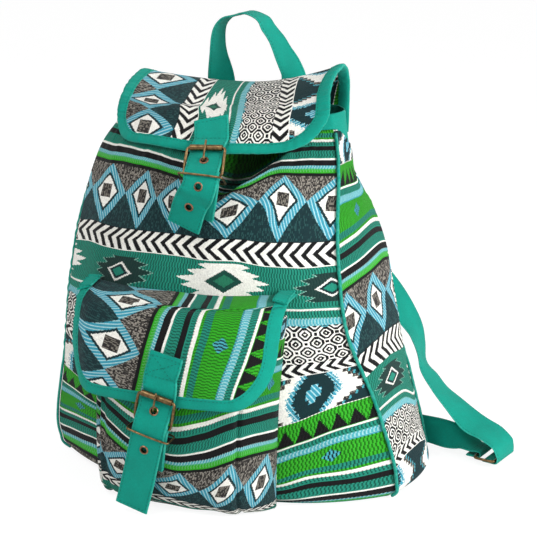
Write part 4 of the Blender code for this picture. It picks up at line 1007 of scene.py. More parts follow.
def canvas_cloth(name, base, worn, from_place=False):
    """Teal twill, in millimetres along and across the piece, faded at its edges."""
    paint = Paint(name)
    if from_place:
        along, across, third = paint.place()
        along = along + third
        half = None
    else:
        along, across, half = paint.attribute("lay")
    where = paint.vector(along, across)
    slub = paint.noise(paint.vector(along * 0.35, across * 1.4), 1.0, 2.0)
    weft = paint.noise(paint.vector(along * 1.4, across * 0.35, 5.0), 1.0, 2.0)
    patch = paint.noise(where, 0.045, 3.0, 0.6)
    dark = colour(*(value * 0.86 for value in base))
    light = colour(*(min(255, value * 1.07) for value in base))
    tone = paint.mix(patch, dark, light)
    one = ((along + across) / 1.25 * math.pi).sin().abs()
    two = ((along - across) / 2.1 * math.pi).sin().abs()
    shade = (slub - 0.5) * 0.34 + (weft - 0.5) * 0.28 + one * 0.16 + 0.90
    tone = paint.scaled(tone, shade)
    if half is not None:
        rim = across.abs() / half.larger(0.5)
        fuzz = paint.noise(paint.vector(along, across, 2.0), 0.35, 3.0, 0.7)
        fade = ((rim - 0.90) * 9.0).clipped() * ((fuzz - 0.38) * 3.0).clipped()
        tone = paint.mix(fade * 0.40, tone, colour(*worn))
    paint.link(tone, paint.shader.inputs["Base Color"])
    paint.link(patch * 0.15 + 0.74, paint.shader.inputs["Roughness"])
    paint.shader.inputs["Specular IOR Level"].default_value = 0.16
    paint.shader.inputs["Sheen Weight"].default_value = 0.03
    paint.shader.inputs["Sheen Roughness"].default_value = 0.5
    paint.bump(one * 0.6 + two * 0.2 + slub * 0.6 + weft * 0.5, 0.0004, 0.8)
    return paint.material


def aged_metal(name, bright, dark, roughness):
    """Brass wire with a brown patina that is rubbed through in places."""
    paint = Paint(name)
    x, y, z = paint.place()
    where = paint.vector(x, y, z)
    patina = paint.noise(where, 0.35, 4.0, 0.65)
    fine = paint.noise(where, 2.4, 3.0, 0.6)
    rubbed = ((patina - 0.36) * 2.6).clipped()
    tone = paint.mix(rubbed, colour(*dark), colour(*bright))
    tone = paint.scaled(tone, fine * 0.24 + 0.88)
    paint.link(tone, paint.shader.inputs["Base Color"])
    paint.shader.inputs["Metallic"].default_value = 1.0
    paint.link(rubbed * -0.14 + fine * 0.1 + roughness, paint.shader.inputs["Roughness"])
    paint.bump(fine * 0.5 + patina, 0.00015, 0.6)
    return paint.material


WOVEN = woven_cloth()
CANVAS_CLOTH = canvas_cloth("teal_canvas_cloth", (4, 143, 125), (104, 192, 174))
THREAD_CLOTH = canvas_cloth("stitch_thread", (8, 104, 90), (110, 204, 186), from_place=True)
BRASS = aged_metal("antique_brass_wire", (140, 114, 78), (84, 66, 44), 0.38)
COPPER = aged_metal("copper_eyelet", (186, 140, 108), (86, 60, 46), 0.38)


# Fine meshes

def cubic_grid(grid, u, v):
    """Smooth value of a grid at arrays of fractional row and column numbers."""
    grid = np.asarray(grid, float)
    shape = u.shape
    u = u.ravel()
    v = v.ravel()
    padded = np.concatenate([2 * grid[:1] - grid[1:2], grid, 2 * grid[-1:] - grid[-2:-1]])
    padded = np.concatenate([2 * padded[:, :1] - padded[:, 1:2], padded,
                             2 * padded[:, -1:] - padded[:, -2:-1]], axis=1)
    i = np.clip(np.floor(u).astype(int), 0, len(grid) - 2)
    j = np.clip(np.floor(v).astype(int), 0, grid.shape[1] - 2)

    def weights(t):
        return (0.5 * (-t + 2 * t ** 2 - t ** 3), 0.5 * (2 - 5 * t ** 2 + 3 * t ** 3),
                0.5 * (t + 4 * t ** 2 - 3 * t ** 3), 0.5 * (t ** 3 - t ** 2))

    out = 0
    extra = (None,) * (grid.ndim - 2)
    wv = weights(v - j)
    for k, wu in enumerate(weights(u - i)):
        for m in range(4):
            out = out + padded[i + k, j + m] * (wu * wv[m])[(...,) + extra]
    return out.reshape(shape + grid.shape[2:])


def normalised(vectors):
    return vectors / np.maximum(np.linalg.norm(vectors, axis=-1, keepdims=True), 1e-12)


def eased(share):
    """Share cut to 0 to 1, with a soft start and end."""
    share = np.clip(share, 0, 1)
    return share ** 2 * (3 - 2 * share)


def ripple(x, y, seed):
    """Smooth uneven waves, the same every time, between about -1 and 1."""
    total = 0
    for k in range(6):
        turn = 2.399 * (k + 1) + seed * 1.7
        size = 0.7 + 0.22 * k
        way = x * math.cos(turn) + y * math.sin(turn)
        total = total + np.sin(size * way + seed * 3.1 + k * 1.9)
    return total / 3.2


class Sheet:
    """Cloth surface over two directions, sampled once and then read smoothly."""

    def __init__(self, surface, first, second, counts, relief, flip=False):
        self.first = first
        self.second = second
        self.counts = counts
        self.relief = relief
        self.flip = flip
        self.grid = np.array([[surface(a, b) for b in np.linspace(*second, counts[1])]
                              for a in np.linspace(*first, counts[0])])

    def plain(self, a, b):
        u = (a - self.first[0]) / (self.first[1] - self.first[0]) * (self.counts[0] - 1)
        v = (b - self.second[0]) / (self.second[1] - self.second[0]) * (self.counts[1] - 1)
        return cubic_grid(self.grid, u, v)

    def normal_of(self, place, a, b):
        du = (self.first[1] - self.first[0]) * 0.004
        dv = (self.second[1] - self.second[0]) * 0.004
        across = place(a + du, b) - place(a - du, b)
        along = place(a, b + dv) - place(a, b - dv)
        normal = normalised(np.cross(across, along))
        return -normal if self.flip else normal

    def at(self, a, b):
        points = self.plain(a, b)
        return points + self.normal_of(self.plain, a, b) * self.relief(a, b, points)[..., None]

    def normal(self, a, b):
        return self.normal_of(self.at, a, b)


def linked_object(name, data):
    thing = bpy.data.objects.new(name, data)
    bpy.context.collection.objects.link(thing)
    return thing


def mesh_piece(name, points, quads, material, body="bag", attributes=(), sharp=None, triangles=()):
    """Smooth mesh object riding on a body, its faces outwards and corners over an angle sharp."""
    mesh = bpy.data.meshes.new(name)
    points = np.asarray(points, float).reshape(-1, 3)
    quads = np.asarray(quads, int).reshape(-1, 4)
    triangles = np.asarray(triangles, int).reshape(-1, 3)
    loops = np.concatenate([quads.ravel(), triangles.ravel()])
    starts = np.concatenate([np.arange(len(quads)) * 4,
                             len(quads) * 4 + np.arange(len(triangles)) * 3])
    mesh.vertices.add(len(points))
    mesh.vertices.foreach_set("co", points.ravel())
    mesh.loops.add(len(loops))
    mesh.loops.foreach_set("vertex_index", loops)
    mesh.polygons.add(len(starts))
    mesh.polygons.foreach_set("loop_start", starts)
    mesh.update(calc_edges=True)
    mesh.validate()
    for key, values in dict(attributes).items():
        layer = mesh.attributes.new(key, "FLOAT_VECTOR", "POINT")
        layer.data.foreach_set("vector", np.asarray(values, float).reshape(-1, 3).ravel())
    work = bmesh.new()
    work.from_mesh(mesh)
    bmesh.ops.recalc_face_normals(work, faces=work.faces)
    loose = [v for v in work.verts if not v.link_faces]
    bmesh.ops.delete(work, geom=loose, context="VERTS")
    work.to_mesh(mesh)
    work.free()
    mesh.shade_smooth()
    if sharp:
        mesh.set_sharp_from_angle(angle=math.radians(sharp))
    mesh.materials.append(material)
    thing = linked_object(name, mesh)
    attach(thing, body)
    return thing


def grid_quads(rows, columns, start=0, wrap_rows=False, wrap_columns=False):
    i = np.arange(rows if wrap_rows else rows - 1)
    j = np.arange(columns if wrap_columns else columns - 1)
    i, j = np.meshgrid(i, j, indexing="ij")
    i2 = (i + 1) % rows
    j2 = (j + 1) % columns
    return np.stack([start + i * columns + j, start + i2 * columns + j,
                     start + i2 * columns + j2, start + i * columns + j2], -1).reshape(-1, 4)


def cloth_shell(name, outer, normals, thickness, material, attributes):
    """Sheet with both faces and a rounded rim, from its outer grid of points."""
    rows, columns = outer.shape[:2]
    inner = outer - normals * thickness
    faces = grid_quads(rows, columns)
    back = grid_quads(rows, columns, rows * columns)[:, ::-1]
    rim = [i * columns for i in range(rows)]
    rim += [(rows - 1) * columns + j for j in range(1, columns)]
    rim += [i * columns + columns - 1 for i in range(rows - 2, -1, -1)]
    rim += [j for j in range(columns - 2, 0, -1)]
    rim = np.array(rim)
    size = rows * columns
    middle = (outer.reshape(-1, 3)[rim] + inner.reshape(-1, 3)[rim]) / 2
    onwards = np.roll(middle, -1, 0) - np.roll(middle, 1, 0)
    side = np.cross(normalised(onwards), normals.reshape(-1, 3)[rim])
    centre = middle.mean(0)
    if np.sum(side * (middle - centre)) < 0:
        side = -side
    middle = middle + normalised(side) * thickness * 0.35
    first = 2 * size + np.arange(len(rim))
    following = np.roll(rim, -1)
    after = np.roll(first, -1)
    walls = np.concatenate([np.stack([rim, first, after, following], 1),
                            np.stack([first, rim + size, following + size, after], 1)])
    points = np.concatenate([outer.reshape(-1, 3), inner.reshape(-1, 3), middle])
    full = {}
    for key, values in attributes.items():
        values = np.asarray(values, float).reshape(-1, 3)
        full[key] = np.concatenate([values, values, values[rim]])
    faces = np.concatenate([faces, back, walls])
    return mesh_piece(name, points, faces, material, attributes=full)


def tube_piece(name, points, radius, material, sides, first, closed=False, body="bag"):
    """Round bar along a path, its ends domed, its section carried without twisting."""
    points = np.asarray(points, float)
    tangents = np.array(path_tangents(list(points), closed))
    radii = np.full(len(points), radius)
    if not closed:
        start = [points[0] - tangents[0] * radius * k for k in (0.9, 0.6)]
        end = [points[-1] + tangents[-1] * radius * k for k in (0.6, 0.9)]
        points = np.concatenate([start, points, end])
        tangents = np.concatenate([tangents[:1]] * 2 + [tangents] + [tangents[-1:]] * 2)
        radii = np.concatenate([[radius * 0.4, radius * 0.8], radii, [radius * 0.8, radius * 0.4]])
    side = np.asarray(first, float)
    rings = []
    lay = []
    length = 0.0
    for k, (point, tangent) in enumerate(zip(points, tangents)):
        if k:
            length += np.linalg.norm(point - points[k - 1])
        side = unit(side - tangent * np.dot(side, tangent))
        other = np.cross(tangent, side)
        turns = 2 * math.pi * (np.arange(sides) + 0.5) / sides
        way = np.cos(turns)[:, None] * side + np.sin(turns)[:, None] * other
        rings.append(point + radii[k] * way)
        lay.append(np.stack([np.full(sides, length * 1000), turns * radius * 1000,
                             np.zeros(sides)], 1))
    count = len(rings)
    quads = grid_quads(count, sides, wrap_rows=closed, wrap_columns=True)
    triangles = []
    if not closed:
        for base, at in ((0, rings[0].mean(0)), ((count - 1) * sides, rings[-1].mean(0))):
            rings.append(np.array([at] * sides))
            lay.append(lay[0 if base == 0 else count - 1])
            tip = (len(rings) - 1) * sides
            triangles += [(base + j, base + (j + 1) % sides, tip) for j in range(sides)]
    return mesh_piece(name, rings, quads, material, body, {"lay": lay}, triangles=triangles)


def spaced(points, step):
    """Smooth curve through unevenly spaced stations (any number of columns), at an even step."""
    points = np.asarray(points, float)
    gaps = np.linalg.norm(np.diff(points[:, :3], axis=0), axis=1)
    keep = np.concatenate([[True], gaps > 1e-7])
    points = points[keep]
    gaps = np.linalg.norm(np.diff(points[:, :3], axis=0), axis=1)
    arc = np.concatenate([[0.0], np.cumsum(gaps)])
    slopes = np.zeros_like(points)
    steps = np.diff(points, axis=0) / gaps[:, None]
    slopes[0] = steps[0]
    slopes[-1] = steps[-1]
    weight = gaps[1:] / (gaps[1:] + gaps[:-1])
    slopes[1:-1] = steps[:-1] * weight[:, None] + steps[1:] * (1 - weight[:, None])
    count = max(2, int(round(arc[-1] / step)) + 1)
    places = np.linspace(0, arc[-1], count)
    i = np.clip(np.searchsorted(arc, places, side="right") - 1, 0, len(gaps) - 1)
    h = gaps[i][:, None]
    t = ((places - arc[i]) / gaps[i])[:, None]
    curve = ((2 * t ** 3 - 3 * t ** 2 + 1) * points[i] + (t ** 3 - 2 * t ** 2 + t) * h * slopes[i]
             + (-2 * t ** 3 + 3 * t ** 2) * points[i + 1] + (t ** 3 - t ** 2) * h * slopes[i + 1])
    return curve, places


STITCH_LENGTH = 0.0024
STITCH_PITCH = 0.0034
STITCH_RADIUS = 0.00026
# Four sections of one stitch: place along it, height and width
STITCH_PLACES = (0.0, 0.3, 0.7, 1.0)
STITCH_LIFTS = (-1.0, 0.5, 0.5, -1.0)
STITCH_WIDTHS = (0.6, 1.0, 1.0, 0.6)
STITCH_SIDES = 6


def read_along(values, arc, places):
    return np.stack([np.interp(places, arc, values[:, c]) for c in range(3)], 1)


def stitches(name, runs):
    """Rows of short thread loops along paths of (points, normals) on a cloth face."""
    points = []
    quads = []
    triangles = []
    for line, normals in runs:
        line = np.asarray(line, float)
        normals = np.asarray(normals, float)
        gaps = np.linalg.norm(np.diff(line, axis=0), axis=1)
        arc = np.concatenate([[0.0], np.cumsum(gaps)])
        count = int(arc[-1] / STITCH_PITCH)
        for k in range(count):
            start = (k + 0.5) * arc[-1] / max(count, 1) - STITCH_LENGTH / 2
            places = start + STITCH_LENGTH * np.array(STITCH_PLACES)
            at = read_along(line, arc, places)
            up = normalised(read_along(normals, arc, places))
            way = unit(at[-1] - at[0])
            side = np.cross(up, way)
            base = len(points) * STITCH_SIDES
            for p, n, sd, lift, fat in zip(at, up, side, STITCH_LIFTS, STITCH_WIDTHS):
                ring = []
                for k in range(STITCH_SIDES):
                    turn = math.pi / 3 * k
                    away = sd * math.cos(turn) + n * math.sin(turn)
                    ring.append(p + n * STITCH_RADIUS * lift + away * STITCH_RADIUS * fat)
                points.append(ring)
            quads.append(grid_quads(4, STITCH_SIDES, base, wrap_columns=True))
            for end in (base, base + 3 * STITCH_SIDES):
                triangles += [(end, end + j, end + j + 1) for j in range(1, STITCH_SIDES - 1)]
    return mesh_piece(name, points, np.concatenate(quads), THREAD_CLOTH, triangles=triangles)


# Step along the straps that carry holes and tight folds
FINE_STEP = 0.0008


class Strap:
    """Flat canvas strap with rounded edges, hems pressed in and both faces."""

    def __init__(self, centres, across, width, thickness, step=0.0012, wave=0.0, seed=1.0,
                 hem=0.0022):
        ways = [unit(a) for a in np.asarray(across, float)]
        rows = np.concatenate([np.asarray(centres, float), ways], axis=1)
        rows, self.arc = spaced(rows, step)
        frames = ribbon_frames(list(rows[:, :3]), list(rows[:, 3:6]))
        self.points = np.array([f[0] for f in frames])
        self.wide = np.array([f[1] for f in frames])
        self.normal = np.array([f[2] for f in frames])
        self.width = width
        self.thickness = thickness
        self.wave = wave
        self.seed = seed
        self.hem = hem
        ends = np.minimum(self.arc, self.arc[-1] - self.arc)
        self.calm = np.clip(ends / 0.02, 0, 1)

    def lift(self, lane):
        """Height of the strap's middle at lanes across it, from -1 to 1."""
        u = np.asarray(lane)[None, :]
        x = self.arc[:, None] * 1000
        wave = self.wave * ripple(x / 14.0, u * 1.6, self.seed) * (0.35 + 0.65 * u ** 2)
        return wave * self.calm[:, None]

    def face(self, lane, side):
        """Points and outward normals of one face along lanes from -1 to 1."""
        lane = np.atleast_1d(np.asarray(lane, float))
        half = self.width / 2
        rounded = self.thickness * 0.6
        edge = np.clip((np.abs(lane) * half - (half - rounded)) / rounded, 0, 1)
        body = self.thickness / 2 * np.sqrt(np.clip(1 - edge ** 2, 0.02, 1))
        from_edge = half - np.abs(lane) * half
        groove = 0.00022 * np.exp(-((from_edge - self.hem) / 0.0007) ** 2)
        height = self.lift(lane) + side * (body - groove)[None, :]
        where = (self.points[:, None, :] + self.wide[:, None, :] * (lane * half)[None, :, None]
                 + self.normal[:, None, :] * height[..., None])
        return where, np.repeat(self.normal[:, None, :] * side, len(lane), 1)

    def build(self, name, lanes=21, open_at=None):
        """Mesh of the strap, left open where a test of the faces' middles says so."""
        if open_at is None:
            turn = np.linspace(-math.pi / 2, math.pi / 2, lanes)
            lane = np.sin(turn) * 0.35 + np.linspace(-0.65, 0.65, lanes)
        else:
            lane = np.linspace(-1, 1, lanes)
        upper, _ = self.face(lane, 1)
        lower, _ = self.face(lane, -1)
        rows = len(self.arc)
        ring = np.concatenate([upper, lower[:, ::-1]], axis=1)
        quads = grid_quads(rows, 2 * lanes, wrap_columns=True)
        if open_at is not None:
            quads = quads[~open_at(ring.reshape(-1, 3)[quads].mean(1))]
        ends = []
        for base in (0, (rows - 1) * 2 * lanes):
            last = base + 2 * lanes - 1
            ends += [(base + j, base + j + 1, last - 1 - j, last - j) for j in range(lanes - 1)]
        along = np.repeat((self.arc * 1000)[:, None], 2 * lanes, 1)
        lay_across = np.concatenate([lane, lane[::-1]]) * self.width * 500
        lay = np.stack([along, np.repeat(lay_across[None], rows, 0),
                        np.full(along.shape, self.width * 500)], -1)
        return mesh_piece(name, ring, np.concatenate([quads, ends]), CANVAS_CLOTH,
                          attributes={"lay": lay}, sharp=50)

    def rows_of_stitches(self, sides, start, end):
        """Stitch paths along both long edges, on the chosen faces."""
        lane = 1 - self.hem / (self.width / 2)
        keep = (self.arc >= start) & (self.arc <= self.arc[-1] - end)
        runs = []
        for side in sides:
            for one in (-lane, lane):
                where, normals = self.face([one], side)
                runs.append((where[keep, 0], normals[keep, 0]))
        return runs

    def path_on(self, side, spots):
        """Stitch path over the strap's face through (distance along, lane) spots."""
        line = []
        normals = []
        for (a0, l0), (a1, l1) in zip(spots, spots[1:]):
            for share in np.linspace(0, 1, 12):
                place = a0 + (a1 - a0) * share
                lane = l0 + (l1 - l0) * share
                i = int(np.clip(np.searchsorted(self.arc, place), 0, len(self.arc) - 1))
                where, normal = self.face([lane], side)
                line.append(where[i, 0])
                normals.append(normal[i, 0])
        return line, normals


def outer_side(strap, way):
    """Which face of a strap looks along a direction: 1 or -1."""
    return 1 if np.sum(strap.normal @ np.asarray(way, float)) > 0 else -1


def table_on(values, u, v):
    """Measured pattern coordinates at shares from 0 to 1 over a piece."""
    table = np.array(values, float)
    return cubic_grid(table, u * (table.shape[0] - 1), v * (table.shape[1] - 1))


def weave_from(key, u, v):
    """Weave coordinates along and down the cloth, with no painted shade in the third channel."""
    return np.stack([table_on(ALONG[key], u, v), table_on(DOWN[key], u, v), np.zeros_like(u)], -1)


def canvas_piece(piece, *nodes):
    """Canvas that stands for nodes of the frame, or for none where it is in this model alone."""
    if nodes:
        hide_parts(*nodes)
    return piece


def metal_piece(piece, node):
    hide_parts(node)


def woven_piece(name, outer, normals, thickness, weave_and_painted_shade, node):
    """Shell of the jacquard cloth that stands for a node of the frame."""
    piece = cloth_shell(name, outer, normals, thickness, WOVEN, {"weave_and_painted_shade": weave_and_painted_shade})
    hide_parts(node)
    return piece


# Cloth of the body

def valley(points, start, end, width, depth):
    """Soft pressed-in fold along a line between two places (x, z) on the bag."""
    start = np.asarray(start, float)
    end = np.asarray(end, float)
    flat = np.stack([points[..., 0], points[..., 2]], -1)
    way = end - start
    share = np.clip(((flat - start) @ way) / (way @ way), 0, 1)
    nearest = start + share[..., None] * way
    distance = np.linalg.norm(flat - nearest, axis=-1)
    return -depth * np.exp(-(distance / width) ** 2) * np.sin(math.pi * (0.12 + 0.76 * share))


# Pressed folds of the front: start and end (x, z), width and depth
FRONT_FOLDS = (
    ((0.020, 0.300), (0.078, 0.322), 0.008, 0.0030),
    ((0.030, 0.288), (0.088, 0.306), 0.007, 0.0016),
    ((-0.030, 0.296), (-0.082, 0.312), 0.007, 0.0014),
    ((-0.095, 0.262), (-0.132, 0.285), 0.009, 0.0014),
    ((-0.060, 0.235), (-0.118, 0.225), 0.012, 0.0016),
    ((0.052, 0.245), (0.098, 0.262), 0.012, 0.0014),
    ((0.090, 0.150), (0.140, 0.176), 0.012, 0.0020),
    ((0.086, 0.105), (0.150, 0.085), 0.014, 0.0022),
    ((0.100, 0.050), (0.160, 0.030), 0.012, 0.0020),
    ((-0.100, 0.180), (-0.150, 0.205), 0.012, 0.0018),
    ((-0.105, 0.090), (-0.165, 0.115), 0.013, 0.0022),
    ((-0.100, 0.045), (-0.160, 0.030), 0.012, 0.0020),
    ((0.070, 0.200), (0.118, 0.222), 0.011, 0.0012),
)
HOLLOW_DEPTH = 0.024
# Lower and side edges of the panels, top of the sampled forms, and height from which the
# woven coordinates were measured
PANEL_LOW = 0.0009
PANEL_EDGE = 0.9985
FORM_TOP = 0.345
WEAVE_LOW = 0.003


def hollow(points):
    """Deep fold right of the lid's buckle, above a line that rises to the right. Its share also
    sets the painted shade there.
    """
    x = points[..., 0]
    z = points[..., 2]
    above = (z - 0.269 - (x - 0.016) * 0.80) / 0.011
    beside = np.clip((x + 0.004) / 0.020, 0, 1) * np.clip((0.080 - x) / 0.030, 0, 1)
    top = np.clip((0.3245 - z) / 0.010, 0, 1)
    return eased(above) * beside * top


def side_width(side):
    return np.linalg.norm(body_point(side, 1, 0.1) - body_point(side, -1, 0.1))


def panel_relief(side, seed):
    """Seam puckers, soft unevenness and pressed folds of one body panel."""
    width = side_width(side)

    def relief(t, z, points):
        edge = (1 - np.abs(t)) * width / 2
        waves = (ripple(z * 620, t * 1.2, seed) * np.exp(-edge / 0.013)
                 * np.clip(edge / 0.004, 0, 1) * 0.0010)
        top = np.exp(-np.abs(FRONT_PANEL_TOP - z) / 0.03)
        gathers = ripple(t * width * 260, z * 12, seed + 2.0) * top * 0.0012
        broad = ripple(t * width * 36, z * 42, seed + 5.0) * 0.0010
        fade = np.clip(edge / 0.012, 0, 1)
        total = waves + (gathers + broad) * fade
        if side == "front":
            for start, end, breadth, depth in FRONT_FOLDS:
                total = total + valley(points, start, end, breadth, depth) * fade
        elif side == "right":
            total = total + ripple(z * 105 + t * 2.0, t * 1.5, 4.0) * 0.0016 * fade
        total = np.clip(total, -0.0060, 0.0016)
        if side == "front":
            total = total - HOLLOW_DEPTH * hollow(points)
        return total * np.clip((z - WEAVE_LOW) / 0.008, 0, 1)

    return relief


BODY = {}
for side, seed in (("front", 1.3), ("right", 2.1), ("back", 3.7), ("left", 4.9)):
    BODY[side] = Sheet(lambda t, z, side=side: body_point(side, t, z), (-1, 1), (0.0, FORM_TOP),
                       (45 if side == "front" else 17, 45), panel_relief(side, seed))


def body_panel(side, name, node, columns, rows):
    """Woven panel of one side, its print measured or, on hidden sides, carried on."""
    sheet = BODY[side]
    share = np.linspace(0, 1, columns)
    t = -PANEL_EDGE + 2 * PANEL_EDGE * share
    tops = np.array([panel_top(body_point(side, value, FRONT_PANEL_TOP)[1]) for value in t])
    v = np.linspace(0, 1, rows)
    z = PANEL_LOW + (tops[:, None] - PANEL_LOW) * v[None, :]
    t = np.repeat(t[:, None], rows, 1)
    points = sheet.at(t, z)
    normals = sheet.normal(t, z)
    u = (t + 1) / 2
    height = (z - WEAVE_LOW) / (FRONT_PANEL_TOP - WEAVE_LOW)
    if side in ("front", "right"):
        weave_and_painted_shade = weave_from(side, u, height)
        if side == "front":
            # the front's third channel carries painted shade in the sunken fold right of the lid's
            # buckle
            weave_and_painted_shade[..., 2] = hollow(points)
    else:
        width = side_width(side) * 1000
        along, down = {"back": (40.0, 352.0), "left": (130.0, 330.0)}[side]
        bow = 8 * np.sin(u * math.pi)
        weave_and_painted_shade = np.stack([along + u * width, down - z * 1000 * 1.12 + bow, np.zeros_like(u)], -1)
    woven_piece(name, points, normals, FABRIC, weave_and_painted_shade, node)


body_panel("front", "front_cloth", "front_panel", 201, 171)
body_panel("right", "right_side_cloth", "right_side_panel", 91, 151)
body_panel("back", "back_cloth", "back_panel", 121, 121)
body_panel("left", "left_side_cloth", "left_side_panel", 71, 121)


SIDES = ("front", "right", "back", "left")
# How far across a side its own direction is read beside a seam
BESIDE_SEAM = 0.985


def piping(name, side, node, radius, shift=0.0):
    """Corded seam at the right-hand end of a side, rolled off it higher up by a shift."""
    other = SIDES[(SIDES.index(side) + 1) % 4]
    top = panel_top(body_point(side, 1, FRONT_PANEL_TOP)[1])
    z = np.linspace(0.0040, top - 0.004, 190)
    roll = eased((z - 0.08) / 0.07) * abs(shift)
    face = BODY[other if shift < 0 else side]
    t = (roll - 1) if shift < 0 else (1 - roll)
    one = face.at(t, z)
    beside = np.full_like(z, BESIDE_SEAM)
    seam = BODY[side].normal(beside, z) + BODY[other].normal(-beside, z)
    own = face.normal(np.clip(t, -BESIDE_SEAM, BESIDE_SEAM), z)
    share = np.clip(roll / 0.03, 0, 1)[:, None]
    n = normalised(normalised(seam) * (1 - share) + own * share)
    points = one + n * (radius * (1 - 0.7 * share) + SEAM_GAP)
    canvas_piece(tube_piece(name, points, radius, CANVAS_CLOTH, 14, (1, 0, 0)), node)


piping("piping_cord_front_right", "front", "piping_front_right", 0.0016)
piping("piping_cord_back_right", "right", "piping_back_right", 0.0014, -0.045)
piping("piping_cord_back_left", "back", "piping_back_left", 0.0014)
piping("piping_cord_front_left", "left", "piping_front_left", 0.0013, 0.190)


def mouth_hem():
    """Canvas band round the open mouth, its upper edge rolled and slightly gathered."""
    profile = ((0.0, 1.0), (0.15, 1.0), (0.4, 1.0), (0.7, 1.0), (0.9, 1.0),
               (1.0, 0.6), (1.0, -0.6), (0.9, -1.0), (0.4, -1.0), (0.0, -1.0))
    normals = []
    places = []
    for side, count in (("front", 96), ("right", 40), ("back", 60), ("left", 40)):
        for i in range(count):
            places.append((side, -1 + 2 * i / count))
    for side, t in places:
        n = body_normal(side, t, BODY_HEIGHT - 0.004)
        if t == -1:
            n = unit(n + body_normal(SIDES[SIDES.index(side) - 1], 1, BODY_HEIGHT - 0.004))
        normals.append(unit(np.array([n[0], n[1], 0.0])))
    normals = np.array(normals)
    normals = normalised(normals + np.roll(normals, 1, 0) + np.roll(normals, -1, 0))
    rows = []
    lay = []
    length = 0.0
    before = body_point(*places[0], BODY_HEIGHT)
    for flat, (side, t) in zip(normals, places):
        low = panel_top(body_point(side, t, FRONT_PANEL_TOP)[1]) + LAYER_GAP
        here = body_point(side, t, BODY_HEIGHT)
        length += np.linalg.norm(here - before)
        before = here
        wave = math.sin(length * 1000 / 8.5) * 0.0004
        ring = []
        lays = []
        for share, face in profile:
            offset = (face - 1) / 2 * CANVAS + wave * share - 0.0002
            ring.append(body_point(side, t, low + (BODY_HEIGHT - low) * share) + flat * offset)
            lays.append((length * 1000, (share - 0.5) * (BODY_HEIGHT - low) * 1000, 13.0))
        rows.append(ring)
        lay.append(lays)
    quads = grid_quads(len(rows), len(profile), wrap_rows=True, wrap_columns=True)
    piece = mesh_piece("mouth_hem", rows, quads, CANVAS_CLOTH, attributes={"lay": lay}, sharp=60)
    canvas_piece(piece, "mouth_band")


mouth_hem()


# Flaps with bound edges

# Places of the two buckles across their flaps
LID_BUCKLE_A = LID_BUCKLE_X - FLAP_X
POCKET_BUCKLE_A = POCKET_BUCKLE_X - POCKET_FLAP_X
# Each flap as cut: width, length and corner radius. Its cloth ends inside the bound edge.
LID_CUT = (FLAP_WIDTH, LID_LENGTH, FLAP_CORNER)
POCKET_FLAP_CUT = (POCKET_FLAP_WIDTH, POCKET_FLAP_LENGTH, POCKET_FLAP_CORNER)
FLAP_INSET = BINDING_WIDTH * 0.62
# Distance of the pocket flap's crease from its root
FLAP_TUCK = 0.034
# Half width of the flaps' flat part under a strap
STRAP_CALM = 0.030


def near_edge(distance):
    """Share of a pucker that is left at a distance from the edge."""
    return np.exp(-np.clip(distance, 0, 1) / 0.012)


def lid_relief(a, b, _):
    """Soft unevenness of the lid, calm under its strap and at its root."""
    strap = np.exp(-((a - LID_BUCKLE_A) / STRAP_CALM) ** 4) * (b > LID_LENGTH - 0.075)
    broad = ripple(a * 52, b * 44, 6.0) * 0.0011
    edge = FLAP_WIDTH / 2 - np.abs(a)
    pucker = ripple(a * 30, b * 560, 7.0) * near_edge(edge) * 0.0006
    hem = ripple(a * 560, b * 30, 8.0) * near_edge(LID_LENGTH - b) * 0.0006
    root = np.clip((b - 0.02) / 0.03, 0, 1)
    return np.clip(broad + pucker + hem, -0.0018, 0.0012) * (1 - strap * 0.95) * root


def tuck_reach(a):
    """The crease starts left of the middle and runs to the right edge."""
    return np.clip((a + 0.035) / 0.02, 0, 1)


def pocket_flap_relief(a, b, _):
    """Soft unevenness of the pocket's flap and its crease, calm under its strap."""
    strap = np.exp(-((a - POCKET_BUCKLE_A) / STRAP_CALM) ** 4) * (b > POCKET_FLAP_LENGTH - 0.060)
    broad = ripple(a * 60, b * 60, 9.0) * 0.0010
    edge = POCKET_FLAP_WIDTH / 2 - np.abs(a)
    pucker = ripple(a * 30, b * 600, 10.0) * near_edge(edge) * 0.0006
    fold = -0.0014 * np.exp(-((b - FLAP_TUCK - 0.002) / 0.0022) ** 2) * tuck_reach(a)
    return np.clip(broad + pucker + fold, -0.0020, 0.0010) * (1 - strap * 0.95)


LID = Sheet(lid_surface, (-0.100, 0.100), (0.0, LID_LENGTH), (41, 45), lid_relief, flip=True)
POCKET_FLAP = Sheet(pocket_flap_surface, (-0.100, 0.100), (0.0, POCKET_FLAP_LENGTH), (41, 33),
                    pocket_flap_relief, flip=True)


def flap_cloth(name, sheet, cut, key, columns, rows, node):
    """Woven cloth of a flap, its rounded free edge hidden in the bound edge."""
    width, length, corner = cut
    half = width / 2 - FLAP_INSET
    radius = corner - FLAP_INSET
    a = half * np.sin(math.pi / 2 * np.linspace(-1, 1, columns))
    beyond = np.maximum(0.0, np.abs(a) - (half - radius))
    end = length - corner + np.sqrt(np.maximum(0.0, radius ** 2 - beyond ** 2))
    b = end[:, None] * np.linspace(0, 1, rows)[None, :]
    a = np.repeat(a[:, None], rows, 1)
    points = sheet.at(a, b)
    normals = sheet.normal(a, b)
    weave_and_painted_shade = weave_from(key, a / width + 0.5, b / length)
    if key == "pflap":
        weave_and_painted_shade[..., 1] += 12.0 * np.clip((FLAP_TUCK - b) / 0.0012, 0, 1) * tuck_reach(a)
    return woven_piece(name, points, normals, FABRIC, weave_and_painted_shade, node)


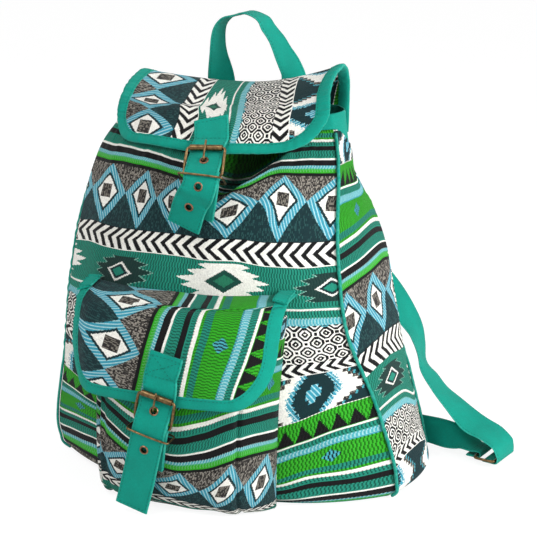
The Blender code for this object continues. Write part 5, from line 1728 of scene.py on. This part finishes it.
def bound_edge(name, sheet, cut, node):
    """Canvas tape folded round the free edge, pressed thinner along its stitched line."""
    edge = flap_edge(*cut, 0.0012)
    a = np.array([p[0][0] for p in edge])
    b = np.array([p[0][1] for p in edge])
    ia = np.array([p[1][0] for p in edge])
    ib = np.array([p[1][1] for p in edge])
    arc = np.concatenate([[0.0], np.cumsum(np.hypot(np.diff(a), np.diff(b)))])
    rise = BINDING_HEIGHT / 2
    seam_depth, seam_rise = 0.84, 0.80
    profile = ((1.00, 0.60), (0.985, 0.80), (0.93, 0.84), (seam_depth, seam_rise), (0.72, 0.93),
               (0.55, 1.0), (0.36, 0.99), (0.20, 0.90), (0.09, 0.68), (0.02, 0.36), (0.0, 0.0))
    profile = profile + tuple((q, -h) for q, h in profile[-2::-1])

    def cloth_at(depth):
        """Points and normals of the flap at a depth in from its free edge."""
        pa = a + ia * depth
        pb = np.clip(b + ib * depth, 0.0, None)
        return sheet.at(pa, pb), sheet.normal(pa, pb)

    ring = []
    lay = []
    uneven = 1 + 0.07 * ripple(arc * 480, arc * 0, 3.0)
    for q, h in profile:
        face, normal = cloth_at(q * BINDING_WIDTH)
        centre = face - normal * FABRIC / 2
        swell = uneven if abs(h) > 0.7 else np.ones_like(uneven)
        ring.append(centre + normal * (h * rise * swell)[:, None])
        lay.append(np.stack([arc * 1000, np.full_like(arc, (q - 0.5) * BINDING_WIDTH * 1000),
                             np.full_like(arc, BINDING_WIDTH * 500)], 1))
    ring = np.swapaxes(np.array(ring), 0, 1)
    lay = np.swapaxes(np.array(lay), 0, 1)
    count = len(profile)
    quads = grid_quads(len(a), count, wrap_columns=True)
    ends = []
    for base in (0, (len(a) - 1) * count):
        last = base + count
        ends += [(base + j - 1, base + j, last - 1 - j, last - j) for j in range(1, count // 2)]
    quads = np.concatenate([quads, ends])
    canvas_piece(mesh_piece(name, ring, quads, CANVAS_CLOTH, attributes={"lay": lay}), node)
    face, normal = cloth_at(seam_depth * BINDING_WIDTH)
    upper = face + normal * (rise * seam_rise - FABRIC / 2)
    lower = face - normal * (rise * seam_rise + FABRIC / 2)
    stitches(name + "_stitching", [(upper, normal), (lower, -normal)])


lid_cloth = flap_cloth("lid_cloth", LID, LID_CUT, "lid", 121, 131, "lid_flap")
bound_edge("lid_bound_edge", LID, LID_CUT, "lid_binding")
pocket_flap_cloth = flap_cloth("pocket_flap_cloth", POCKET_FLAP, POCKET_FLAP_CUT, "pflap", 121, 91,
                               "pocket_flap")
bound_edge("pocket_flap_bound_edge", POCKET_FLAP, POCKET_FLAP_CUT, "pocket_flap_binding")

TAPE_END_WIDTH = 0.0138
TAPE_END_LENGTH = 0.032
TAPE_END_INSET = 0.0064
TAPE_END_SEAM = 0.0015


def flap_tabs():
    """Ends of the pocket flap's tape, folded down over its two upper corners."""
    runs = []
    for name, sign in (("left", -1), ("right", 1)):
        middle = sign * (POCKET_FLAP_WIDTH / 2 - TAPE_END_INSET)
        b = np.linspace(0.0, TAPE_END_LENGTH, 10)
        a = np.full_like(b, middle)
        centres = POCKET_FLAP.at(a, b) + POCKET_FLAP.normal(a, b) * (BINDING_HEIGHT / 2 + 0.0004)
        across = POCKET_FLAP.at(a + 0.004, b) - POCKET_FLAP.at(a - 0.004, b)
        strap = Strap(centres, across, TAPE_END_WIDTH, CANVAS, step=FINE_STEP, hem=0.0016)
        canvas_piece(strap.build("pocket_flap_end_" + name, lanes=17))
        side = outer_side(strap, (0, -1, 0))
        near, far = TAPE_END_SEAM, strap.arc[-1] - TAPE_END_SEAM
        runs += [strap.path_on(side, [(near, -0.8), (far, -0.8), (far, 0.8), (near, 0.8)])]
    stitches("pocket_flap_end_stitching", runs)


def pocket_relief(u, v, _):
    """Gathers along the pocket's bottom and three pleats down its face."""
    low = np.exp(-v / 0.18)
    gathers = ripple(u * 34, v * 1.2, 11.0) * (0.0016 * low + 0.0007)
    pleat = -0.0028 * np.exp(-((u - 0.745) / 0.012) ** 2) * np.clip(v / 0.15, 0, 1)
    left = -0.0040 * np.exp(-((u - 0.20 - 0.05 * v) / 0.018) ** 2) * np.clip(v / 0.2, 0, 1)
    more = (-0.0026 * np.exp(-((u - 0.30 + 0.03 * v) / 0.013) ** 2)
            * np.clip(v / 0.2, 0, 1) * (1 - 0.5 * v))
    edge = np.minimum(u, 1 - u)
    calm = np.clip(edge / 0.05, 0, 1) * np.clip(v / 0.05, 0.2, 1)
    return np.clip(gathers + pleat + left + more, -0.0065, 0.0014) * calm


POCKET = Sheet(pocket_point, (0, 1), (0, 1), (57, 29), pocket_relief)


def pocket_cloth():
    u, v = np.meshgrid(np.linspace(0, 1, 221), np.linspace(0, 1, 121) ** 1.25, indexing="ij")
    points = POCKET.at(u, v)
    normals = POCKET.normal(u, v)
    middle = points.mean((0, 1))
    if np.sum(normals[110, 60] * (points[110, 60] - middle)) < 0:
        normals = -normals
    reach = np.clip((front_plane(points) - points[..., 1]) / 0.004, 0.15, 1)
    inner = points - normals * (CANVAS * reach)[..., None]
    weave_and_painted_shade = weave_from("pocket", u, v)
    woven_piece("pocket_cloth", points, (points - inner) / CANVAS, CANVAS, weave_and_painted_shade, "pocket_body")


def front_plane(points):
    """Front panel's y behind each point of the pocket."""
    x = np.linspace(-0.12, 0.12, 49)
    z = np.linspace(0.0, 0.2, 41)
    table = np.array([[front_y(a, max(b, POCKET_FLOOR)) for b in z] for a in x])
    return cubic_grid(table, (points[..., 0] + 0.12) / 0.005, points[..., 2] / 0.005)


pocket_cloth()
flap_tabs()


# Buckles, eyelets and the straps that run through them
WIRE_STEP = 0.0011
PRONG_STEP = 0.0007


def rounded_loop(half, low, high, corner, place):
    """Even closed path round a rounded rectangle, -half to half by low to high."""
    loop = []
    for cx, cy, start in ((half, high, 0), (-half, high, 90), (-half, low, 180), (half, low, 270)):
        inwards = -corner if cy == high else corner
        for k in range(9):
            turn = math.radians(start + 90 * k / 8)
            x = cx - math.copysign(corner, cx) + corner * math.cos(turn)
            loop.append(place(x, cy + inwards + corner * math.sin(turn)))
    return spaced(loop + loop[:1], WIRE_STEP)[0][:-1]


def fine_buckle(prefix, place, keeper):
    """Wire frame, rolled sleeve, prong and wire keeper of one buckle."""
    half = BUCKLE_HALF_WIDTH
    corner = BUCKLE_CORNER * 1.35
    loop = rounded_loop(half, 0, BUCKLE_LENGTH, corner, lambda x, y: place.at(x, y, 0))
    wire = tube_piece(prefix + "_buckle_wire", loop, WIRE, BRASS, 16, place.out, closed=True)
    metal_piece(wire, prefix + "_buckle_frame")

    rings = []
    profile = [(-1.0, 0.62), (-1.0, 0.90), (-0.99, 0.985), (-0.97, 1.0), (-0.5, 1.0), (0.0, 0.985),
               (0.5, 1.0), (0.97, 1.0), (0.99, 0.985), (1.0, 0.90), (1.0, 0.62), (0.97, 0.60),
               (0.0, 0.60), (-0.97, 0.60)]
    sides = 28
    seam = 20
    for x, share in profile:
        radius = ROLLER_RADIUS * share
        for k in range(sides):
            turn = 2 * math.pi * k / sides
            r = radius * (0.93 if k == seam and share > 0.8 else 1.0)
            rings.append(place.at(x * ROLLER_LENGTH / 2, BUCKLE_LENGTH + r * math.cos(turn),
                                  r * math.sin(turn)))
    quads = grid_quads(len(profile), sides, wrap_rows=True, wrap_columns=True)
    sleeve = mesh_piece(prefix + "_buckle_sleeve", rings, quads, BRASS, prefix + "_roller",
                        sharp=40)
    metal_piece(sleeve, prefix + "_buckle_roller")

    curl = WIRE + RUNNING_GAP + THIN_WIRE + 0.0001
    side_view = []
    for k in range(17):
        turn = math.radians(PRONG_CURL[0] + PRONG_CURL[1] * k / 16)
        side_view.append((curl * math.cos(turn), curl * math.sin(turn)))
    side_view.append((PRONG_HEEL, -curl))
    side_view.extend(PRONG_LINE)
    line, _ = spaced([place.at(0, y, z) for y, z in side_view], PRONG_STEP)
    prong = tube_piece(prefix + "_buckle_tongue", line, THIN_WIRE, BRASS, 14, place.across,
                       body=prefix + "_prong")
    metal_piece(prong, prefix + "_buckle_prong")

    wide = half + WIRE + THIN_WIRE + LAYER_GAP
    drop, tilt, front = keeper
    back = -(WIRE + 2 * CANVAS + LAYER_GAP * 3 + THIN_WIRE)
    loop = rounded_loop(wide, back, front, corner * 0.8,
                        lambda x, z: place.at(x, -drop - x * tilt, z))
    wire = tube_piece(prefix + "_buckle_loop", loop, THIN_WIRE, BRASS, 12, place.up, closed=True)
    metal_piece(wire, prefix + "_buckle_keeper")


def fine_eyelet(name, node, centre, normal, across):
    """Rolled copper eyelet, turned from its section round its own axis."""
    other = np.cross(normal, across)
    half = STRAP_THICKNESS / 2
    barrel = EYELET_INSIDE + EYELET_BARREL
    face = half + SEAM_GAP
    top = face + EYELET_FLANGE
    profile = [(EYELET_INSIDE, -face), (EYELET_INSIDE, face),
               (EYELET_INSIDE + 0.0001, top - 0.00015), (EYELET_INSIDE + 0.0004, top),
               (EYELET_INSIDE + 0.0008, top - 0.00002),
               (EYELET_OUTSIDE - 0.0003, face + EYELET_FLANGE * 0.55),
               (EYELET_OUTSIDE, face + 0.0001), (EYELET_OUTSIDE, face - 0.0002),
               (barrel, face - 0.0002), (barrel, -face)]
    sides = 36
    rings = []
    for k in range(sides):
        turn = 2 * math.pi * k / sides
        way = across * math.cos(turn) + other * math.sin(turn)
        rings.append([centre + way * r + normal * h for r, h in profile])
    quads = grid_quads(sides, len(profile), wrap_rows=True, wrap_columns=True)
    metal_piece(mesh_piece(name, rings, quads, COPPER, sharp=50), node)


def buckled_strap(name, prefix, upper, upper_across, place, lower, lower_across, holed):
    """Strap from its flap through a buckle to its tip, with an eyelet at each punched station."""
    centres = list(upper) + [place.at(0, y, z) for y, z in STRAP_IN_BUCKLE]
    across = list(upper_across) + [place.across] * len(STRAP_IN_BUCKLE)
    holes = [len(upper) + HOLE_IN_BUCKLE]
    stops = [centres[-1]] + list(lower)
    for i, (point, wide) in enumerate(zip(lower, lower_across)):
        if i in holed:
            way = unit(unit(stops[i + 2] - point) + unit(point - stops[i]))
            holes.append(len(centres))
            centres += [point - way * HOLE_SPAN, point + way * HOLE_SPAN]
            across += [wide, wide]
        else:
            centres.append(point)
            across.append(wide)
    spots = []
    for index, i in enumerate(holes, 1):
        way = unit(centres[i + 1] - centres[i])
        wide = unit(across[i] - way * np.dot(across[i], way))
        normal = np.cross(way, wide)
        if np.dot(normal, place.out) < 0:
            normal = -normal
        middle = (centres[i] + centres[i + 1]) / 2
        spots.append(middle)
        fine_eyelet(f"{prefix}_eyelet_ring_{index}", f"{prefix}_strap_eyelet_{index}",
                    middle, normal, wide)
    strap = Strap(centres, across, STRAP_WIDTH, STRAP_THICKNESS, step=FINE_STEP)
    reach = math.hypot(EYELET_INSIDE + EYELET_BARREL, STRAP_THICKNESS / 2)

    def punched(middles):
        return np.any([np.linalg.norm(middles - spot, axis=1) <= reach for spot in spots], axis=0)

    canvas_piece(strap.build(name, 43, punched), f"{prefix}_strap")
    return strap


def fine_tab(name, node, place, straight, lower_end, end_across):
    """Canvas tab folded round the heel bar, open in the middle where the prong curls."""
    bend = WIRE + SEAM_GAP + CANVAS / 2
    layer = CANVAS / 2 + SEAM_GAP / 2
    low = np.asarray(lower_end, float)
    neck = place.at(0, -TAB_NECK, 0)
    turn = place.at(0, -straight, 0)
    line = []
    wides = []
    for share in np.linspace(0, 1, 9):
        rest = 1 - share
        line.append(rest ** 2 * low + 2 * rest * share * turn + share ** 2 * neck)
        wides.append(unit(unit(np.asarray(end_across, float)) * rest + place.across * share))
    normals = []
    for tangent, wide in zip(path_tangents(line), wides):
        normal = unit(np.cross(wide, tangent))
        normals.append(normal if np.dot(normal, place.out) > 0 else -normal)
    centres = [point + normal * layer for point, normal in zip(line, normals)]
    turns = np.linspace(0, math.pi, 13)
    centres += [place.at(0, bend * math.sin(t), bend * math.cos(t)) for t in turns]
    centres += [point - normal * layer for point, normal in reversed(list(zip(line, normals)))]
    across = wides + [place.across] * len(turns) + wides[::-1]
    strap = Strap(centres, across, STRAP_WIDTH, CANVAS, step=FINE_STEP)

    def slot(middles):
        away = middles - place.heel
        return (np.abs(away @ place.across) < SLOT_WIDTH / 2) & (away @ place.up > -TAB_NECK)

    canvas_piece(strap.build(name, 41, slot), node)


def lid_closure():
    """Buckle, strap and tab of the lid."""
    tip = lid_surface(LID_BUCKLE_A, LID_LENGTH)
    down = unit(tip - lid_surface(LID_BUCKLE_A, LID_LENGTH - 0.012))
    normal = surface_normal(lid_surface, LID_BUCKLE_A, LID_LENGTH - 0.006)
    rise = STRAP_RISE - STRAP_IN_BUCKLE[0][1] + LID_BUCKLE_STANDOFF
    roller = tip + normal * rise + down * 0.001
    down = unit(down + np.array([LID_STRAP_LEAN, 0.0, -LID_STRAP_DROP]))
    place = BuckleFrame(roller + down * BUCKLE_LENGTH, (1.0, 0.0, LID_HEEL_TILT), -down)
    fine_buckle("lid", place, LID_KEEPER)
    upper = []
    upper_across = []
    half = STRAP_WIDTH / 2
    for x, back in LID_STRAP_START:
        a = x - FLAP_X
        b = LID_LENGTH - back
        upper.append(lid_surface(a, b) + surface_normal(lid_surface, a, b) * STRAP_RISE)
        upper_across.append(lid_surface(a + half, b) - lid_surface(a - half, b))
    lower = [place.at(*LID_SECOND_HOLE)]
    lower += [np.array(point) for point in LID_STRAP_END]
    lower_across = [np.array([1.0, 0.05, tilt]) for tilt in LID_STRAP_TILTS]
    strap = buckled_strap("lid_strap_webbing", "lid", upper, upper_across, place, lower,
                          lower_across, (0, 1))
    x, z = LID_TAB_END
    end = np.array([x, front_y(x, z) - CANVAS - 3 * LAYER_GAP, z])
    fine_tab("lid_buckle_tab_cloth", "lid_buckle_tab", place, LID_TAB_RUN, end, LID_TAB_ACROSS)
    return strap


def pocket_closure():
    """Buckle, strap and tab of the pocket."""
    tip = pocket_flap_surface(POCKET_BUCKLE_A, POCKET_FLAP_LENGTH)
    before = pocket_flap_surface(POCKET_BUCKLE_A, POCKET_FLAP_LENGTH - 0.03)
    down = unit(tip - before + np.array([POCKET_STRAP_LEAN, POCKET_STRAP_TUCK, 0.0]))
    normal = surface_normal(pocket_flap_surface, POCKET_BUCKLE_A,
                            POCKET_FLAP_LENGTH - POCKET_BUCKLE_RISE)
    rise = STRAP_RISE + SEAM_GAP
    roller = tip + normal * (rise - STRAP_IN_BUCKLE[0][1]) - down * POCKET_BUCKLE_RISE
    place = BuckleFrame(roller + down * BUCKLE_LENGTH, (1.0, 0.0, POCKET_HEEL_TILT), -down)
    fine_buckle("pocket", place, POCKET_KEEPER)
    upper = []
    for x, back in POCKET_STRAP_START:
        a = x - POCKET_FLAP_X
        b = POCKET_FLAP_LENGTH - back
        normal = surface_normal(pocket_flap_surface, a, b)
        upper.append(pocket_flap_surface(a, b) + normal * rise)
    upper_across = [np.array([1.0, 0.0, -0.20])] * len(upper)
    lower = [np.array(point) for point in POCKET_STRAP_END]
    lower_across = [np.array([1.0, 0.0, tilt]) for tilt in POCKET_STRAP_TILTS]
    strap = buckled_strap("pocket_strap_webbing", "pocket", upper, upper_across, place, lower,
                          lower_across, (0,))
    x, z = POCKET_TAB_END
    end = np.array([x, front_y(x, z) - POCKET_DEPTH * 1.29, z])
    fine_tab("pocket_buckle_tab_cloth", "pocket_buckle_tab", place, POCKET_TAB_RUN, end,
             POCKET_TAB_ACROSS)
    return strap


# Stitches across a strap: distance from its sewn end and from its tip, and lane they reach
SEWN_END = 0.0025
SEWN_TIP = 0.003
SEWN_LANE = 0.84
# Where the hem stitches of the other straps end, and the zigzag that closes a lower strap
HEM_END = 0.004
ZIGZAG = [(0.016 + 0.0016 * k, 0.8 * (-1) ** k) for k in range(8)]


def strap_stitches(name, strap, way, patch):
    """Hem, end and tip stitches of a buckled strap, with the patch that sews it to its flap."""
    side = outer_side(strap, way)
    tip = strap.arc[-1] - SEWN_TIP
    runs = strap.rows_of_stitches((side,), 0.002, 0.003)
    for line in patch + [[(tip, -SEWN_LANE), (tip, SEWN_LANE)]]:
        runs.append(strap.path_on(side, line))
    stitches(name, runs)


strap_stitches("lid_strap_stitching", lid_closure(), (0, -1, 0.3), [
    [(SEWN_END, -SEWN_LANE), (SEWN_END, SEWN_LANE)], [(0.022, -SEWN_LANE), (0.022, SEWN_LANE)]])
strap_stitches("pocket_strap_stitching", pocket_closure(), (0, -1, 0.0), [
    [(SEWN_END, -SEWN_LANE), (SEWN_END, SEWN_LANE), (0.020, -SEWN_LANE), (0.020, SEWN_LANE),
     (SEWN_END, -SEWN_LANE)]])


# Carrying loop and shoulder straps

def handle():
    centres, across = strap_behind_back(HANDLE_LINE, 60, BODY_HEIGHT)
    strap = Strap(centres, across, HANDLE_WIDTH, CANVAS, wave=0.00025, seed=2.0)
    canvas_piece(strap.build("handle_webbing"), "grab_handle")
    stitches("handle_stitching", strap.rows_of_stitches((1, -1), HEM_END, HEM_END))


def fine_adjuster(name, node, outer_bar, across, inward):
    """Wire loop of a strap adjuster between its two bars."""
    across = unit(across)
    inward = unit(inward - across * np.dot(inward, across))
    half = SHOULDER_WIDTH / 2 + WIRE + LAYER_GAP
    loop = rounded_loop(half, 0, ADJUSTER_LENGTH, BUCKLE_CORNER * 1.4,
                        lambda x, y: outer_bar + across * x + inward * y)
    out = np.cross(across, inward)
    metal_piece(tube_piece(name, loop, WIRE, BRASS, 14, out, closed=True), node)


def shoulder_set(side, run, bar, inward, corner_end):
    """Shoulder strap round its adjuster's outer bar, and lower strap round the inner one."""
    centres, across = run
    bar = np.array(bar)
    wide = unit(across[-1])
    inward = unit(inward - wide * np.dot(inward, wide))
    flat_up = np.cross(wide, inward)
    if flat_up[2] < 0:
        flat_up = -flat_up
    fold = WIRE + LAYER_GAP + CANVAS / 2
    out = -inward
    ring = []
    for turn in np.linspace(math.radians(12), math.radians(-90), 9):
        ring.append(bar + fold * (out * math.cos(turn) + flat_up * math.sin(turn)))
    tail = [ring[-1] + inward * step for step in (0.006, 0.012)]
    run = list(centres) + ring + tail
    run_across = list(across) + [wide] * (len(ring) + len(tail))
    strap = Strap(run, run_across, SHOULDER_WIDTH, CANVAS, wave=0.0006, seed=3.0 + len(side))
    canvas_piece(strap.build(f"shoulder_webbing_{side}"), f"shoulder_strap_{side}")
    runs = strap.rows_of_stitches((1, -1), HEM_END, HEM_END)
    fine_adjuster(f"adjuster_wire_{side}", f"strap_adjuster_{side}", bar, wide, inward)
    inner_bar = bar + inward * ADJUSTER_LENGTH
    loop = []
    for turn in np.linspace(math.radians(-90), math.radians(90), 13):
        loop.append(inner_bar + fold * (out * math.cos(turn) + flat_up * math.sin(turn)))
    start = [loop[0] + inward * step for step in (0.012, 0.008, 0.004)]
    leave = loop[-1] + inward * 0.006 - flat_up * 0.0006
    run = start + loop + [leave] + [point for point, _ in corner_end]
    run_across = [wide] * (len(start) + len(loop) + 1) + [turned for _, turned in corner_end]
    lower = Strap(run, run_across, LOWER_STRAP_WIDTH, CANVAS, wave=0.0002, seed=5.0)
    canvas_piece(lower.build(f"lower_webbing_{side}"), f"lower_strap_{side}")
    runs += lower.rows_of_stitches((1, -1), HEM_END, HEM_END)
    runs += [lower.path_on(1, ZIGZAG), lower.path_on(-1, ZIGZAG)]
    stitches(f"shoulder_stitching_{side}", runs)


def anchor_patch():
    """Stitched patch that holds the carrying loop and the shoulder straps to the back."""
    columns = 91
    rows = 31
    x = ANCHOR_X + ANCHOR_WIDTH * (np.linspace(0, 1, columns) - 0.5)
    z = BACK_PANEL_TOP - ANCHOR_HEIGHT + ANCHOR_HEIGHT * np.linspace(0, 1, rows)
    points = np.array([[(a, back_y(a, b) + ANCHOR_STANDOFF + CANVAS, b) for b in z] for a in x])
    u, v = np.meshgrid(np.linspace(-1, 1, columns), np.linspace(-1, 1, rows), indexing="ij")
    edge = np.minimum((1 - np.abs(u)) * ANCHOR_WIDTH / 2, (1 - np.abs(v)) * ANCHOR_HEIGHT / 2)
    groove = -0.0003 * np.exp(-((edge - ANCHOR_SEAM) / 0.0008) ** 2)
    groove = groove + ripple(u * 9, v * 3, 4.0) * 0.0002
    points[..., 1] += groove
    normals = np.zeros_like(points)
    normals[..., 1] = 1.0
    lay = np.stack([u * ANCHOR_WIDTH * 500, v * ANCHOR_HEIGHT * 500,
                    np.full_like(u, ANCHOR_HEIGHT * 500)], -1)
    piece = cloth_shell("anchor_patch_cloth", points, normals, CANVAS, CANVAS_CLOTH, {"lay": lay})
    canvas_piece(piece, "strap_anchor_patch")
    sx = 1 - ANCHOR_SEAM / (ANCHOR_WIDTH / 2)
    sz = 1 - ANCHOR_SEAM / (ANCHOR_HEIGHT / 2)
    corners = [(-sx, -sz), (sx, -sz), (sx, sz), (-sx, sz), (-sx, -sz), (sx, sz)]
    line = []
    for (ax, az), (bx, bz) in zip(corners, corners[1:]):
        for share in np.linspace(0, 1, 20):
            px = ANCHOR_X + ANCHOR_WIDTH / 2 * (ax + (bx - ax) * share)
            pz = BACK_PANEL_TOP - ANCHOR_HEIGHT / 2 + ANCHOR_HEIGHT / 2 * (az + (bz - az) * share)
            line.append((px, back_y(px, pz) + ANCHOR_STANDOFF + CANVAS - 0.0001, pz))
    stitches("anchor_patch_stitching", [(line, [(0.0, 1.0, 0.0)] * len(line))])


handle()
right_run = strap_from_edges(RIGHT_STRAP_NEAR, RIGHT_STRAP_FAR, 60)
left_run = strap_behind_back(LEFT_STRAP_LINE, 50)
shoulder_set("right", right_run, RIGHT_BAR, RIGHT_BAR_WAY, RIGHT_LOWER_STRAP)
shoulder_set("left", left_run, LEFT_BAR, LEFT_BAR_WAY, LEFT_LOWER_STRAP)
anchor_patch()


# Section of the canvas bottom from its middle, round its rim and back: share of its width, z
BASE_SECTION = (
    (0.02, 0.0), (0.5, 0.0), (0.985, 0.0), (1.0, 0.0007), (1.0, 0.0016), (0.985, 0.0022),
    (0.5, 0.0022), (0.02, 0.0022),
)


def base_plate():
    """Canvas bottom inside the lower edges of the woven panels."""
    edge = []
    for side in SIDES:
        for t in np.linspace(-1, 1, 29)[:-1]:
            normal = body_normal(side, t * 0.97, 0.004)
            flat = unit(np.array([normal[0], normal[1], 0.0]))
            edge.append(body_point(side, t, 0.0012) - flat * (FABRIC + SEAM_GAP))
    edge = np.array(edge)
    middle = edge.mean(0)
    rings = []
    for share, z in BASE_SECTION:
        ring = middle + (edge - middle) * share
        ring[:, 2] = z
        rings.append(ring)
    rings = np.array(rings)
    count = rings.shape[1]
    triangles = []
    for start in (0, (len(rings) - 1) * count):
        triangles += [(start, start + j, start + j + 1) for j in range(1, count - 1)]
    lay = np.stack([rings[..., 0] * 1000, rings[..., 1] * 1000,
                    np.full(rings.shape[:2], 400.0)], -1)
    quads = grid_quads(len(rings), count, wrap_columns=True)
    piece = mesh_piece("base_canvas", rings, quads, CANVAS_CLOTH, attributes={"lay": lay},
                       triangles=triangles, sharp=50)
    canvas_piece(piece, "base_panel")


base_plate()


# Floor, lights and camera

FLOOR_REACH = 14.0
LAMP_AIM = (0.0, 0.0, 0.15)


def seen_rays(tree):
    """1 for rays from the camera or a reflection, 0 for the light that falls on the bag."""
    path = tree.nodes.new("ShaderNodeLightPath")
    seen = Socket(tree, path.outputs["Is Camera Ray"])
    return seen.larger(Socket(tree, path.outputs["Is Glossy Ray"]))


def stage():
    """White floor that the camera sees brighter than it lights the bag."""
    mesh = bpy.data.meshes.new("studio_floor")
    far = FLOOR_REACH
    corners = [(-far, -far, 0), (far, -far, 0), (far, far, 0), (-far, far, 0)]
    mesh.from_pydata(corners, [], [(0, 1, 2, 3)])
    floor = linked_object("studio_floor", mesh)
    material = bpy.data.materials.new("studio_white")
    material.use_nodes = True
    tree = material.node_tree
    shader = tree.nodes["Principled BSDF"]
    shader.inputs["Base Color"].default_value = (0.92, 0.92, 0.92, 1.0)
    shader.inputs["Roughness"].default_value = 0.9
    shader.inputs["Specular IOR Level"].default_value = 0.1
    glow = tree.nodes.new("ShaderNodeEmission")
    glow.inputs["Color"].default_value = (1.0, 1.0, 1.0, 1.0)
    glow.inputs["Strength"].default_value = 1.1
    share = seen_rays(tree) * 0.80
    both = tree.nodes.new("ShaderNodeMixShader")
    tree.links.new(share.socket, both.inputs[0])
    tree.links.new(shader.outputs[0], both.inputs[1])
    tree.links.new(glow.outputs[0], both.inputs[2])
    tree.links.new(both.outputs[0], tree.nodes["Material Output"].inputs["Surface"])
    mesh.materials.append(material)


def world():
    """Even white surround, dimmer for the light that falls on the bag."""
    scene = bpy.context.scene
    scene.world = scene.world or bpy.data.worlds.new("studio")
    scene.world.use_nodes = True
    tree = scene.world.node_tree
    back = tree.nodes["Background"]
    back.inputs["Color"].default_value = (1.0, 1.0, 1.0, 1.0)
    level = seen_rays(tree) * 0.42 + 0.58
    tree.links.new(level.socket, back.inputs["Strength"])


def lamp(name, place, size, power):
    """Round area light aimed at the middle of the bag."""
    data = bpy.data.lights.new(name, "AREA")
    data.shape = "DISK"
    data.size = size
    data.energy = power
    thing = linked_object(name, data)
    thing.location = place
    way = unit(np.array(LAMP_AIM) - np.array(place))
    thing.rotation_euler = (math.acos(-way[2]), 0.0, math.atan2(-way[0], way[1]))


stage()
world()
lamp("key_light", (-0.6, -1.5, 2.3), 1.2, 25.0)
lamp("fill_light", (2.0, -0.4, 0.9), 1.4, 48.0)

# Camera fitted to the photograph: focal length and width in pixels, place, yaw and tilt
FOCAL_PIXELS = 1400.0
PHOTO_WIDTH = 537.0
CAMERA_PLACE = (0.46345, -1.1921, 0.53851)
CAMERA_YAW = 0.34982
CAMERA_DOWN = 0.26961
data = bpy.data.cameras.new("photo_camera")
data.sensor_width = 36.0
data.lens = FOCAL_PIXELS * data.sensor_width / PHOTO_WIDTH
camera = linked_object("photo_camera", data)
camera.location = CAMERA_PLACE
camera.rotation_euler = (math.pi / 2 - CAMERA_DOWN, 0.0, CAMERA_YAW)
bpy.context.scene.camera = camera
bpy.context.scene.view_settings.view_transform = "Standard"
